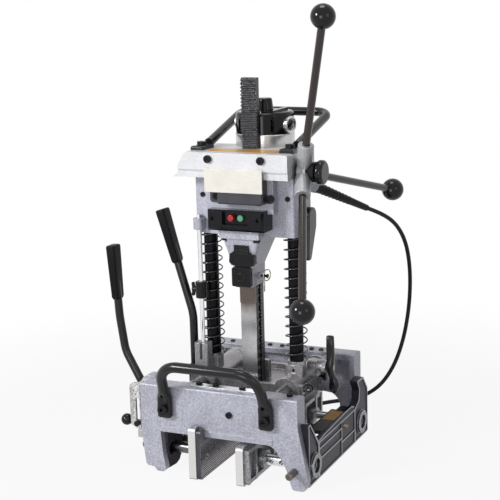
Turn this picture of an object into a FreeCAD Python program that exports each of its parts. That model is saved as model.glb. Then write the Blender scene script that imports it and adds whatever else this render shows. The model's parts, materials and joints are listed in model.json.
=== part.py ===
"""Portable chain mortiser, in millimetres.

X runs to the operator's right, Y to the back and Z up.
The origin lies on the plane of the feet, straight below the axis of the rack and the chain.
"""
import FreeCAD, Part
import math
import os

V = FreeCAD.Vector

# ---------------------------------------------------------------- clearances
RUN = 0.05        # radius clearance of a shaft or slide in its bore
FREE = 0.3        # gap between flat or curved faces that pass each other
GAP = 2.0         # open gap between bodies that only move past each other

# ---------------------------------------------------------------- base castings
WALL_LEFT, WALL_RIGHT = -141.0, 119.0    # ends of the front and rear walls
HALF_DEPTH = 137.0                       # outer faces of the front and rear walls
WALL_TOP = 139.0
WALL_PLATE = 12.0
WALL_ARCH = 66.0                         # height of the opening over the timber
FLANGE_DEPTH, FLANGE_THICK = 29.0, 10.0
LIP_HEIGHT, LIP_PROUD = 8.0, 1.5
RIB_FOOT = 93.0                          # the end ribs of a wall start here
ARCH_LEFT, ARCH_RIGHT = -108.5, 78.0
SIDE_THICK = 13.0
SIDE_TOP, SIDE_LOW = 99.0, 60.0          # pillars and middle of a side wall
PILLAR = 52.0                            # depth of a side wall's pillar, from the wall's outer face
PANEL_DEPTH = 1.3                        # pockets in the right side wall
RIB = 2.4                                # ribs left between the pockets

# ---------------------------------------------------------------- vise
ROD_Z, ROD_INSET, ROD_R = 29.6, 35.0, 9.0   # inset from the walls' outer faces
BUSH_R, RING_R, RING_BORE_R, RING_PROUD = 13.0, 18.5, 11.5, 3.5
LEFT_FACE, RIGHT_FACE = -32.0, 26.0      # faces that grip the timber
JAW_PROUD_FRONT, JAW_PROUD_BACK = 18.0, 13.0
JAW_BOTTOM, JAW_TOP = 1.5, 63.0
JAW_THICK, GRIP_THICK = 12.0, 8.0
GROOVE_PITCH, GROOVE_DEPTH = 3.2, 0.9
INDEX_PITCH, INDEX_COUNT, INDEX_HOLE_R = 16.3, 4, 3.6
PIN_X, PIN_R, PIN_NOSE_R, PIN_PROUD = 113.0, 5.6, 3.0, 23.0
CLAMP_X, CLAMP_Z = -139.0, 62.0          # pivot of the clamp lever
CLAMP_MODULE, CLAMP_TEETH = 2.0, 24
HOUSING_DEPTH, LEVER_ROOM = 20.0, 8.0    # bearing block, and from it to the lever's middle
CLAMP_FACE = 10.0                        # width of its pinion
LEVER_R, GRIP_R0, GRIP_R1 = 6.5, 10.5, 12.0

# ---------------------------------------------------------------- traverse
RAIL_X, RAIL_Z, RAIL_R = 70.75, 126.0, 11.0
BARREL_R, BARREL_FRONT, BARREL_BACK = 19.5, -66.0, 64.0
COLLAR_R, COLLAR_TOP = 14.3, 163.0
TABLE_Z0, TABLE_Z1 = 112.0, 124.0        # plate between the barrels
TRAVERSE_X, TRAVERSE_Y, TRAVERSE_Z = -99.0, -33.0, 40.0
DRIVE_PIN_R = 4.0

# ---------------------------------------------------------------- column and head
POST_Y, POST_R, POST_TOP = -19.0, 11.0, 402.0
RACK_FRONT, RACK_BACK, RACK_HALF, RACK_TOP = -22.0, -9.0, 12.5, 596.0
FEED_MODULE, FEED_TEETH = 1.75, 22
FEED_Z = 460.5
HEAD_TRAVEL = 82.0
EAR_BOTTOM, EAR_STEP, HOOD_BOTTOM, HOOD_TOP = 360.0, 398.0, 451.0, 489.0
EAR_FRONT, EAR_BACK, EAR_OUT = -45.0, 8.0, 88.0
HOOD_WALL = 2.6
MOTOR_Y, MOTOR_R = 39.5, 46.0
MOTOR_Z0, MOTOR_Z1, CAP_TOP, DOME_TOP = 480.0, 508.0, 541.0, 561.0
POLE_X, POLE_Y, POLE_R, POLE_TOP = -74.0, -51.0, 3.5, 390.0
BOSS_Z0, BOSS_Z1 = 367.0, 384.0
COLLAR_LENGTH, STOP_R = 26.0, 9.0
SPRING_R, WIRE_R, SPRING_PITCH = 16.6, 1.1, 15.0

# ---------------------------------------------------------------- chain
CHAIN_HALF, CHAIN_FRONT, CHAIN_BACK = 12.5, -37.5, -25.5
SPROCKET_Z, CHAIN_TIP, SPROCKET_R = 298.0, 90.0, 7.0
NECK_BOTTOM, NECK_BLOCK_TOP, NECK_TOP = 283.0, 313.0, 358.0
GUARD_BOTTOM, GUARD_SPLIT = 112.0, 253.0

# ---------------------------------------------------------------- feed handle
HUB_X, HUB_R, ARM_R, ARM_LENGTH, DIAL_THICK = 94.0, 16.0, 12.0, 45.0, 2.0
SPOKE_R, SPOKE_LENGTH, BALL_R = 5.8, 243.0, 18.0
SPOKE_LEANS, SPOKE_TURN = (14.3, 15.2, 15.5), 15.4   # degrees: outward, and first spoke forward

# ---------------------------------------------------------------- carrying handles
TUBE_R, TOP_TUBE_R = 8.0, 7.0
FRONT_HANDLE_X = (-96.7, 71.0)
TOP_HANDLE_X = (-68.0, 78.0)

# ---------------------------------------------------------------- cord
CORD_R = 3.5
COIL_R, COIL_TURNS_HIGH, COIL_TURNS_WIDE = 42.0, 4, 4

# derived places
FEED_RADIUS = FEED_MODULE * FEED_TEETH / 2
FEED_Y = RACK_FRONT + FEED_MODULE - FEED_RADIUS
HUB_BACK = EAR_OUT + FREE + DIAL_THICK
CLAMP_RADIUS = CLAMP_MODULE * CLAMP_TEETH / 2
RACK_PITCH_Z = CLAMP_Z - CLAMP_RADIUS
SIDE_RIGHT = WALL_RIGHT + SIDE_THICK
SIDE_MIDDLE_HALF = HALF_DEPTH - PILLAR
ROD_Y = HALF_DEPTH - ROD_INSET
JAW_FRONT, JAW_BACK = -HALF_DEPTH - JAW_PROUD_FRONT, HALF_DEPTH + JAW_PROUD_BACK
NOTCH = HALF_DEPTH - FLANGE_DEPTH        # inner side of the walls' flanges
HOUSING = (1 - NOTCH, 1 - NOTCH + HOUSING_DEPTH)
CLAMP_LEVER_Y = HOUSING[1] + LEVER_ROOM
CLAMP_RACK_Y = CLAMP_LEVER_Y + 11.5


# ================================================================ helpers
def box(x, y, z):
    """Block between two limits on each axis."""
    size = [b - a for a, b in (x, y, z)]
    return Part.makeBox(*size, V(x[0], y[0], z[0]))


def cyl(radius, start, end):
    """Round bar between two points."""
    a, b = V(*start), V(*end)
    return Part.makeCylinder(radius, (b - a).Length, a, b - a)


def taper(radius0, radius1, start, end):
    """Cone frustum between two points."""
    a, b = V(*start), V(*end)
    return Part.makeCone(radius0, radius1, (b - a).Length, a, b - a)


def ball(radius, centre):
    return Part.makeSphere(radius, V(*centre))


def union(shapes):
    first, *rest = shapes
    return first.multiFuse(rest).removeSplitter() if rest else first


def cut(shape, tools):
    return shape.cut(tools).removeSplitter()


def outline(points, place):
    """Closed face through corners (a, b) or (a, b, radius), where radius rounds the corner."""
    corners = [(V(p[0], p[1], 0), p[2] if len(p) > 2 else 0.0) for p in points]
    ends = []
    for i, (here, radius) in enumerate(corners):
        before = (corners[i - 1][0] - here).normalize()
        after = (corners[(i + 1) % len(corners)][0] - here).normalize()
        if not radius:
            ends.append((here, None, here))
            continue
        half = before.getAngle(after) / 2
        reach = radius / math.tan(half)
        middle = (before + after).normalize()
        top = here + middle * (radius / math.sin(half) - radius)
        ends.append((here + before * reach, top, here + after * reach))
    edges = []
    for i, (start, top, end) in enumerate(ends):
        if top is not None:
            edges.append(Part.Arc(*[place(p.x, p.y) for p in (start, top, end)]).toShape())
        onward = ends[(i + 1) % len(ends)][0]
        if (onward - end).Length > 1e-6:
            edges.append(Part.LineSegment(place(end.x, end.y), place(onward.x, onward.y)).toShape())
    return Part.Face(Part.Wire(edges))


def plate_xz(points, y):
    face = outline(points, lambda a, b: V(a, y[0], b))
    return face.extrude(V(0, y[1] - y[0], 0))


def plate_yz(points, x):
    face = outline(points, lambda a, b: V(x[0], a, b))
    return face.extrude(V(x[1] - x[0], 0, 0))


def plate_xy(points, z):
    face = outline(points, lambda a, b: V(a, b, z[0]))
    return face.extrude(V(0, 0, z[1] - z[0]))


def path(points, radii):
    """Wire of straight runs joined by tangent arcs, one radius for each inner point."""
    points = [V(*p) for p in points]
    edges, start = [], points[0]
    for i, radius in enumerate(radii, 1):
        back = (points[i - 1] - points[i]).normalize()
        ahead = (points[i + 1] - points[i]).normalize()
        half = back.getAngle(ahead) / 2
        reach = radius / math.tan(half)
        a, b = points[i] + back * reach, points[i] + ahead * reach
        top = points[i] + (back + ahead).normalize() * (radius / math.sin(half) - radius)
        edges += [Part.LineSegment(start, a).toShape(), Part.Arc(a, top, b).toShape()]
        start = b
    edges.append(Part.LineSegment(start, points[-1]).toShape())
    return Part.Wire(edges)


def swept(points, radii, radius):
    """Round bar or tube along straight runs and arcs."""
    spine = path(points, radii)
    first, second = V(*points[0]), V(*points[1])
    circle = Part.Wire(Part.makeCircle(radius, first, second - first))
    return spine.makePipeShell([circle], True, False)


def turned(shape, centre, axis, degrees):
    copy = shape.copy()
    copy.rotate(V(*centre), V(*axis), degrees)
    return copy


def mirrored_y(shape):
    return shape.mirror(V(0, 0, 0), V(0, 1, 0))


def screw(head_r, head_h, shank_r, shank, at, way, socket=0.45):
    """Cap screw: `at` is the seat under the head, `way` points out of the head."""
    out = V(*way).normalize()
    seat = V(*at)
    top = seat + out * head_h
    head = Part.makeCylinder(head_r, head_h, seat, out)
    body = head.fuse(Part.makeCylinder(shank_r, shank, seat - out * shank, out))
    recess = Part.makeCylinder(head_r * socket, head_h * 0.55, top - out * head_h * 0.55, out)
    return body.cut(recess)


def gear_points(module, teeth, backlash):
    """Involute tooth outline, with the first gap on the first axis."""
    pitch_r = module * teeth / 2
    base_r = pitch_r * math.cos(math.radians(20))
    tip_r, root_r = pitch_r + 0.92 * module, pitch_r - 1.2 * module
    involute = lambda r: math.tan(math.acos(base_r / r)) - math.acos(base_r / r)
    half_pitch = (math.pi * module / 2 - backlash) / (2 * pitch_r)
    start_r = max(base_r, root_r) * 1.002
    steps = [start_r + (tip_r - start_r) * i / 3 for i in range(4)]
    flank = [(r, half_pitch + involute(pitch_r) - involute(r)) for r in steps]
    flank = [(root_r, flank[0][1])] + flank if root_r < start_r else flank
    points = []
    for tooth in range(teeth):
        centre = 2 * math.pi * (tooth + 0.5) / teeth
        side = [(r, centre - a) for r, a in flank] + [(r, centre + a) for r, a in reversed(flank)]
        points += [(r * math.cos(t), r * math.sin(t)) for r, t in side]
    return points


def rack_points(module, start, end, phase, pitch_line, root_line, backlash):
    """Straight-flanked rack teeth from start to end, as (along, height); a tooth sits at phase."""
    pitch = math.pi * module
    out = 1 if pitch_line > root_line else -1
    tip_line = pitch_line + out * 0.92 * module
    slope = math.tan(math.radians(20))
    tip = pitch / 4 - backlash / 2 - abs(tip_line - pitch_line) * slope
    root = pitch / 4 - backlash / 2 + abs(pitch_line - root_line) * slope
    first = math.ceil((start + root - phase) / pitch)
    last = math.floor((end - root - phase) / pitch)
    points = []
    for tooth in range(first, last + 1):
        at = phase + tooth * pitch
        points += [(at - root, root_line), (at - tip, tip_line), (at + tip, tip_line), (at + root, root_line)]
    return points


# ================================================================ base
def wall_outline():
    """Front view of a wall with its two legs, as (x, z, corner radius)."""
    return [
        (WALL_LEFT, WALL_TOP, 3), (WALL_LEFT, 57, 60), (-135.5, 8, 6), (-121, 6, 5), (-117, 0, 3),
        (-101, 0, 6), (-106, 32, 80), (ARCH_LEFT, WALL_ARCH, 2),
        (ARCH_RIGHT, WALL_ARCH, 20), (98.5, 36, 60), (109, 0, 6), (130, 0, 8),
        (134.5, 16, 40), (WALL_RIGHT, 98, 40), (WALL_RIGHT, WALL_TOP, 3)]


def wall_casting():
    """Front wall: arched plate with a top flange, end ribs, a lip and bosses for the rails."""
    face, inner = -HALF_DEPTH, -HALF_DEPTH + WALL_PLATE
    back = -HALF_DEPTH + FLANGE_DEPTH
    flange = box((WALL_LEFT, WALL_RIGHT), (face, back), (WALL_TOP - FLANGE_THICK, WALL_TOP))
    flange = flange.makeFillet(2.5, [e for e in flange.Edges if e.BoundBox.ZMin > WALL_TOP - 1])
    plate = plate_xz(wall_outline(), (face, inner))
    plate = plate.cut(box((WALL_LEFT - 1, WALL_RIGHT + 1), (face - 1, inner + 1), (WALL_TOP - 3, WALL_TOP + 1)))
    ribs = [box(x, (inner, back), (RIB_FOOT, WALL_TOP - FLANGE_THICK))
            for x in ((WALL_LEFT, WALL_LEFT + 9), (WALL_RIGHT - 9, WALL_RIGHT))]
    lip = box((ARCH_LEFT + 3, ARCH_RIGHT), (face - LIP_PROUD, inner), (WALL_ARCH, WALL_ARCH + LIP_HEIGHT))
    bosses = [cyl(RAIL_R + 6, (x, inner, RAIL_Z), (x, back, RAIL_Z)) for x in (-RAIL_X, RAIL_X)]
    rails = [cyl(RAIL_R, (x, inner, RAIL_Z), (x, back + 1, RAIL_Z)) for x in (-RAIL_X, RAIL_X)]
    over = box((WALL_LEFT, WALL_RIGHT), (inner, back + 1), (WALL_TOP, WALL_TOP + 40))
    return cut(union([plate, flange, lip] + ribs + bosses), rails + [over])


def front_wall():
    face, inner = -HALF_DEPTH, -HALF_DEPTH + WALL_PLATE
    hole = cyl(PIN_R + RUN, (PIN_X, face - 1, ROD_Z), (PIN_X, inner + 1, ROD_Z))
    holes = [cyl(s[0], s[1], s[2]) for s in front_screw_holes()]
    return cut(wall_casting(), [hole] + holes)


def front_screw_holes():
    """Tapped holes for the handle bolts, the set screw and the cap screws on top."""
    face, inner = -HALF_DEPTH, -HALF_DEPTH + WALL_PLATE
    holes = [(4, (x, face - 1, HANDLE_BOLT_Z), (x, inner - 1, HANDLE_BOLT_Z)) for x in FRONT_HANDLE_X]
    holes += [(4, (SET_SCREW_X, face - 1, HANDLE_BOLT_Z), (SET_SCREW_X, inner - 1, HANDLE_BOLT_Z))]
    holes += [(2.5, (x, TOP_SCREW_Y, WALL_TOP - 8), (x, TOP_SCREW_Y, WALL_TOP + 1)) for x in TOP_SCREWS_FRONT]
    return holes


HANDLE_BOLT_Z, SET_SCREW_X = 105.0, 9.0
TOP_SCREW_Y = 19.0 - HALF_DEPTH
TOP_SCREWS_FRONT = (-49.0, -21.0, 23.0, 100.0)
TOP_SCREWS_REAR = (-104.0, -35.0, -13.0, 40.0, 57.0)


def rear_wall():
    holes = [cyl(2.5, (x, -TOP_SCREW_Y, WALL_TOP - 8), (x, -TOP_SCREW_Y, WALL_TOP + 1))
             for x in TOP_SCREWS_REAR]
    end = box((WALL_RIGHT, SIDE_RIGHT + 10), (0, HALF_DEPTH + 10), (-1, WALL_TOP - FLANGE_THICK))
    return cut(mirrored_y(wall_casting()), holes + [end])


def right_side_wall():
    """Dark panel with bright edges: two pillars and a low middle, pocketed on its outer face."""
    low, mid, near, deep = SIDE_LOW, SIDE_MIDDLE_HALF, HALF_DEPTH - WALL_PLATE, HALF_DEPTH - 3
    body = plate_yz([
        (-near, 3), (-near, SIDE_TOP, 3), (7 - near, SIDE_TOP, 3), (-mid, low, 6), (mid - 12, low, 8),
        (mid + 7, low + 9, 8), (mid + 10, SIDE_TOP - 14, 8), (mid - 1, SIDE_TOP + 4, 2),
        (near - 11, SIDE_TOP + 3, 3), (deep, SIDE_TOP - 21, 4), (deep, 3, 4)], (WALL_RIGHT, SIDE_RIGHT))
    face = (SIDE_RIGHT - PANEL_DEPTH, SIDE_RIGHT + 1)
    split = 11.0
    panels = [
        [(-mid + RIB, 47 + RIB), (-mid + RIB, low - RIB), (split, low - RIB), (split, 47 + RIB)],
        [(-mid + RIB, 33), (-mid + RIB, 47), (split, 47), (split, 33)],
        [(-mid + RIB, 3 + RIB), (-mid + RIB, 33 - RIB), (split, 33 - RIB), (split, 3 + RIB)],
        [(split + RIB, 24 + RIB), (split + RIB, low - RIB), (mid - 14, low - RIB), (mid - 14, 24 + RIB)],
        [(split + RIB, 3 + RIB), (split + RIB, 24), (mid - 14, 24), (mid - 14, 3 + RIB)],
        [(-near + RIB, 3 + RIB), (-near + RIB, SIDE_TOP - RIB), (6 - near, SIDE_TOP - RIB), (-mid - 3, low - 2),
         (-mid - RIB, 3 + RIB)],
        [(mid - 10, 3 + RIB), (mid - 10, low - RIB), (mid + 9.5, low + 7), (mid + 12.5, SIDE_TOP - 14),
         (mid + 4, SIDE_TOP + 1), (near - 12, SIDE_TOP), (deep - RIB, SIDE_TOP - 23), (deep - RIB, 3 + RIB)]]
    pockets = [plate_yz([(a, b, 1.5) for a, b in p], face) for p in panels]
    seats = [cyl(RING_R + 1, (SIDE_RIGHT - 3, y, ROD_Z), (SIDE_RIGHT, y, ROD_Z)) for y in (-ROD_Y, ROD_Y)]
    bores = [cyl(BUSH_R, (WALL_RIGHT - 1, y, ROD_Z), (SIDE_RIGHT + 1, y, ROD_Z)) for y in (-ROD_Y, ROD_Y)]
    shelf = box((WALL_RIGHT - 24, WALL_RIGHT), (ROD_Y - 40, ROD_Y + 2), (SIDE_LOW - 15, SIDE_LOW - 9))
    under = SIDE_LOW - 14
    gusset = plate_xz([(WALL_RIGHT - 20, under), (WALL_RIGHT, under), (WALL_RIGHT, under - 18)],
                      (ROD_Y - 22, ROD_Y - 16))
    panel = union([cut(body, pockets)] + seats + [shelf, gusset])
    return cut(panel, bores)


def clamp_housing():
    """Humped bearing block for the front end of the clamp lever's shaft, and its rear boss."""
    hump = plate_xz([(CLAMP_X - 17, CLAMP_Z - 18, 8), (CLAMP_X - 17, WALL_TOP + 3, 14),
                     (CLAMP_X + 13, WALL_TOP + 3, 12), (CLAMP_X + 13, CLAMP_Z - 18, 4)], HOUSING)
    boss = cyl(15, (CLAMP_X, CLAMP_BOSS[0], CLAMP_Z), (CLAMP_X, CLAMP_BOSS[1], CLAMP_Z))
    return [hump, boss]


def left_side_wall():
    """Inner wall between the front and rear walls, cut away round the clamp pinion."""
    inner = HALF_DEPTH - WALL_PLATE
    under = WALL_TOP - FLANGE_THICK
    half = [(inner, 0, 5), (inner, RIB_FOOT), (NOTCH, RIB_FOOT), (NOTCH, under), (NOTCH - 8, under - 9, 6),
            (SIDE_MIDDLE_HALF, SIDE_LOW, 8)]
    foot = [(SIDE_MIDDLE_HALF - 31, 13, 8), (SIDE_MIDDLE_HALF + 1, 0, 8)]
    ring = ([(-a, *rest) for a, *rest in half] + [(a, *rest) for a, *rest in reversed(half)]
            + [(a, *rest) for a, *rest in reversed(foot)] + [(-a, *rest) for a, *rest in foot])
    wall = plate_yz(ring, (WALL_LEFT, WALL_LEFT + SIDE_THICK))
    window = box((WALL_LEFT - 1, WALL_LEFT + SIDE_THICK + 1), (HOUSING[1] + 0.5, CLAMP_BOSS[0] - 0.5),
                 (18, SIDE_LOW + 60))
    shaft = cyl(CLAMP_SHAFT_R + RUN, (CLAMP_X, HOUSING[0] + 3, CLAMP_Z), (CLAMP_X, CLAMP_BOSS[1] + 1, CLAMP_Z))
    bores = [cyl(BUSH_R, (WALL_LEFT - 6, y, ROD_Z), (WALL_LEFT + 20, y, ROD_Z)) for y in (-ROD_Y, ROD_Y)]
    pivot = cyl(11, (WALL_LEFT + 4, TRAVERSE_Y, TRAVERSE_Z), (TRAVERSE_PIVOT_X0, TRAVERSE_Y, TRAVERSE_Z))
    socket = cyl(TRAVERSE_SHAFT_R + RUN, (WALL_LEFT - 1, TRAVERSE_Y, TRAVERSE_Z),
                 (TRAVERSE_PIVOT_X0 + 1, TRAVERSE_Y, TRAVERSE_Z))
    room = box((CLAMP_X - 18, WALL_LEFT), HOUSING, (0, CLAMP_Z - 2)).common(
        cyl(BUSH_R + 3, (WALL_LEFT - 30, -ROD_Y, ROD_Z), (WALL_LEFT, -ROD_Y, ROD_Z)))
    return cut(union([wall.cut(window)] + clamp_housing() + [pivot]), [shaft, socket, room] + bores)


CLAMP_SHAFT_R = 7.0
CLAMP_BOSS = (CLAMP_RACK_Y + 6.5, CLAMP_RACK_Y + 20.5)
TRAVERSE_SHAFT_R = 6.0
TRAVERSE_PIVOT_X0 = -108.0


def rod_bushes():
    """Four flanged sleeves that the vise rods slide in."""
    sleeves = []
    for side, sign in ((SIDE_RIGHT, 1), (WALL_LEFT, -1)):
        for y in (-ROD_Y, ROD_Y):
            tail, face = (side - sign * (SIDE_THICK + 2), side + sign * RING_PROUD)
            sleeve = cyl(BUSH_R, (tail, y, ROD_Z), (side, y, ROD_Z))
            ring = cyl(RING_R if sign > 0 else BUSH_R + 2, (side, y, ROD_Z), (face, y, ROD_Z))
            bore = cyl(ROD_R + RUN, (tail - sign, y, ROD_Z), (face + sign, y, ROD_Z))
            dish = cyl(RING_BORE_R, (side - sign * 2, y, ROD_Z), (face + sign, y, ROD_Z))
            sleeves.append(cut(sleeve.fuse(ring), [bore, dish]))
    return Part.makeCompound(sleeves)


def guide_rails():
    reach = HALF_DEPTH - WALL_PLATE
    return Part.makeCompound([cyl(RAIL_R, (x, -reach, RAIL_Z), (x, reach, RAIL_Z)) for x in (-RAIL_X, RAIL_X)])


def front_handle():
    """Bent tube with flattened feet, leaning forward from the front wall."""
    left, right = FRONT_HANDLE_X
    face = -HALF_DEPTH
    root, top = (face - 5.5, 124.0), (face - 31, 181.0)
    spine = [(left, root[0] - 1, root[1]), (left + 7, top[0], top[1]), (right - 3, top[0], top[1]),
             (right, root[0] - 1, root[1])]
    tube = swept(spine, [26, 26], TUBE_R)
    parts = [tube]
    for x in (left, right):
        pad = box((x - 11.5, x + 11.5), (face - 9, face), (91, 136))
        pad = pad.makeFillet(3.5, [e for e in pad.Edges if e.BoundBox.YLength > 5])
        parts.append(pad)
        hole = cyl(4.2, (x, face - 12, HANDLE_BOLT_Z), (x, face + 1, HANDLE_BOLT_Z))
        parts.append(hole)
    pads, holes = parts[1::2], parts[2::2]
    back = box((left - 40, right + 40), (face, face + 30), (80, 200))
    return cut(union([tube] + pads), holes + [back])


def base_screws():
    """Handle bolts, front set screw and the cap screws on the walls."""
    face = -HALF_DEPTH
    out = [screw(7.5, 6, 4, WALL_PLATE + 6, (x, face - 9, HANDLE_BOLT_Z), (0, -1, 0)) for x in FRONT_HANDLE_X]
    out.append(screw(5, 3, 4, WALL_PLATE - 3, (SET_SCREW_X, face, HANDLE_BOLT_Z), (0, -1, 0)))
    out += [screw(5, 4.5, 2.5, 7.5, (x, TOP_SCREW_Y, WALL_TOP + STRIP_THICK * (x < 50)), (0, 0, 1))
            for x in TOP_SCREWS_FRONT]
    out += [screw(4, 2.5, 2.5, 7.5, (x, -TOP_SCREW_Y, WALL_TOP), (0, 0, 1)) for x in TOP_SCREWS_REAR]
    return Part.makeCompound(out)


STRIP_THICK = 2.0


def wear_strip():
    """Bright strip screwed along the top of the front wall."""
    strip = box((-60, 46), (TOP_SCREW_Y - 7, TOP_SCREW_Y + 7), (WALL_TOP, WALL_TOP + STRIP_THICK))
    strip = strip.makeFillet(0.6, [e for e in strip.Edges if e.BoundBox.ZMin > WALL_TOP + STRIP_THICK - 0.1])
    holes = [cyl(2.5, (x, TOP_SCREW_Y, WALL_TOP - 1), (x, TOP_SCREW_Y, WALL_TOP + 3))
             for x in TOP_SCREWS_FRONT if x < 50]
    return cut(strip, holes)


# ================================================================ release knob in its slotted plate
PLATE_X = (-167.0, -149.0)
SLOT_X, SLOT_Z = -154.0, (66.0, 110.0)


def guide_plate():
    """Slotted plate on the left end, with a foot behind it on the clamp housing."""
    front = WALL_PLATE - HALF_DEPTH
    plate = plate_xz([(PLATE_X[0], 66, 3), (PLATE_X[0], 132, 7), (PLATE_X[1], 135, 5), (PLATE_X[1], 56, 3)],
                     (front, front + 4))
    foot = box((CLAMP_X - 17, PLATE_X[1]), (front + 2, HOUSING[0]), (114, 132))
    slot = plate_xz([(SLOT_X - 3, SLOT_Z[0], 2.9), (SLOT_X - 3, SLOT_Z[1], 2.9), (SLOT_X + 3, SLOT_Z[1], 2.9),
                     (SLOT_X + 3, SLOT_Z[0], 2.9)], (front - 1, front + 5))
    hole = cyl(2.2, (-159, front - 1, 121), (-159, front + 5, 121))
    return cut(plate.fuse(foot), [slot, hole])


def release_knob():
    """Pin that rides in the slot, with a cross arm and a ball knob to the left."""
    z, y = SLOT_Z[0] + 3.2, WALL_PLATE - HALF_DEPTH
    pin = cyl(2.6, (SLOT_X, y - 3, z), (SLOT_X, y + 12, z))
    disc = cyl(4.6, (SLOT_X, y - 5.5, z), (SLOT_X, y - 0.4, z))
    arm = cyl(2.2, (SLOT_X, y + 9, z), (-172, y + 9, z))
    knob = turned(ball(9.2, (-179, y + 9, z)), (-179, y + 9, z), (0, 0, 1), 180)
    return union([pin, disc, arm, knob])


# ================================================================ vise
def jaw_outline(front_top):
    """Side view of a jaw plate; the front end may stand up in front of the wall."""
    lip = -HALF_DEPTH - LIP_PROUD - GAP
    nose = [(JAW_FRONT, JAW_BOTTOM, 4), (JAW_FRONT, front_top, 6)]
    step = [(lip, front_top, 2), (lip, JAW_TOP)] if front_top > JAW_TOP + 3 else []
    nose = nose if step else [(JAW_FRONT, JAW_BOTTOM, 4), (JAW_FRONT, JAW_TOP, 6)]
    return nose + step + [(JAW_BACK, JAW_TOP, 6), (JAW_BACK, JAW_BOTTOM, 4)]


def left_jaw():
    """Backing casting of the sliding jaw, with bosses for its rods and its rack."""
    x1 = LEFT_FACE - GRIP_THICK
    x0 = x1 - JAW_THICK
    plate = plate_yz(jaw_outline(84), (x0, x1))
    bosses = [cyl(ROD_R + 5, (x0 - 12, y, ROD_Z), (x0, y, ROD_Z)) for y in (-ROD_Y, ROD_Y)]
    ribs = [box((x0 - 8, x0), (y - 4, y + 4), (JAW_BOTTOM + 4, JAW_TOP - 8))
            for y in (JAW_FRONT + 27, -20, 40, JAW_BACK - 22)]
    keep = box((x0 - 14, x0), (CLAMP_RACK_Y - 11, CLAMP_RACK_Y + 11), (18, 46))
    rods = [cyl(ROD_R, (x0 - 13, y, ROD_Z), (x1 - 4, y, ROD_Z)) for y in (-ROD_Y, ROD_Y)]
    bar = box((x0 - 15, x0 - 2), (CLAMP_RACK_Y - CLAMP_FACE / 2, CLAMP_RACK_Y + CLAMP_FACE / 2), RACK_BAR_Z)
    heads = [cyl(3, (x1 - 6, y, ROD_Z + 2), (x1, y, ROD_Z + 2)) for y in GRIP_SCREWS_Y]
    return cut(union([plate, keep] + bosses + ribs), rods + [bar] + heads)


RACK_BAR_Z = (23.5, 36.0)
GRIP_SCREWS_Y = (JAW_FRONT + 23, -40.0, 60.0, JAW_BACK - 18)


def grip_plate():
    """Serrated steel face of the left jaw, in horizontal grooves."""
    x0, x1 = LEFT_FACE - GRIP_THICK, LEFT_FACE
    lip = -HALF_DEPTH - LIP_PROUD - GAP
    plate = plate_yz([(JAW_FRONT + 1, JAW_BOTTOM + 1, 3), (JAW_FRONT + 1, 80, 5), (lip, 80, 2),
                      (lip, JAW_TOP - 1), (JAW_BACK - 1, JAW_TOP - 1, 4), (JAW_BACK - 1, JAW_BOTTOM + 1, 3)],
                     (x0, x1))
    grooves = []
    rows = int((JAW_TOP - 8 - JAW_BOTTOM) / GROOVE_PITCH)
    for row in range(rows):
        z = JAW_BOTTOM + 5 + row * GROOVE_PITCH
        wedge = plate_xz([(x1 + 0.2, z - GROOVE_DEPTH), (x1 + 0.2, z + GROOVE_DEPTH), (x1 - GROOVE_DEPTH, z)],
                         (JAW_FRONT - 1, JAW_BACK + 1))
        grooves.append(wedge)
    holes = [taper(3.1, 5.5, (x1 - 4, y, ROD_Z + 2), (x1 + 0.01, y, ROD_Z + 2)) for y in GRIP_SCREWS_Y]
    holes += [cyl(3.1, (x0 - 1, y, ROD_Z + 2), (x1, y, ROD_Z + 2)) for y in GRIP_SCREWS_Y]
    return Part.makeCompound([cut(plate, grooves + holes)] + grip_screws())


def grip_screws():
    """Countersunk screws of the serrated plate."""
    x0, x1 = LEFT_FACE - GRIP_THICK, LEFT_FACE
    out = []
    for y in GRIP_SCREWS_Y:
        z = ROD_Z + 2
        body = cyl(3, (x0 - 6, y, z), (x1 - 4, y, z)).fuse(taper(3, 5.2, (x1 - 4, y, z), (x1 - 0.8, y, z)))
        out.append(body.cut(cyl(1.8, (x1 - 3, y, z), (x1, y, z))))
    return out


def left_jaw_rods():
    x1 = LEFT_FACE - GRIP_THICK
    return Part.makeCompound([cyl(ROD_R, (-156, y, ROD_Z), (x1 - 4, y, ROD_Z)) for y in (-ROD_Y, ROD_Y)])


def jaw_rack():
    """Toothed bar that the clamp pinion drives."""
    end = LEFT_FACE - GRIP_THICK - JAW_THICK - 2
    start, root = -186.0, RACK_PITCH_Z - 1.2 * CLAMP_MODULE
    teeth = rack_points(CLAMP_MODULE, start + 1, -96, CLAMP_X, RACK_PITCH_Z, root, 0.25)
    y = (CLAMP_RACK_Y - CLAMP_FACE / 2, CLAMP_RACK_Y + CLAMP_FACE / 2)
    lower = RACK_BAR_Z[0]
    return plate_xz([(start, lower), (start, root)] + teeth + [(-94, root), (-92, RACK_BAR_Z[1]),
                    (end, RACK_BAR_Z[1]), (end, lower)], y)


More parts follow.
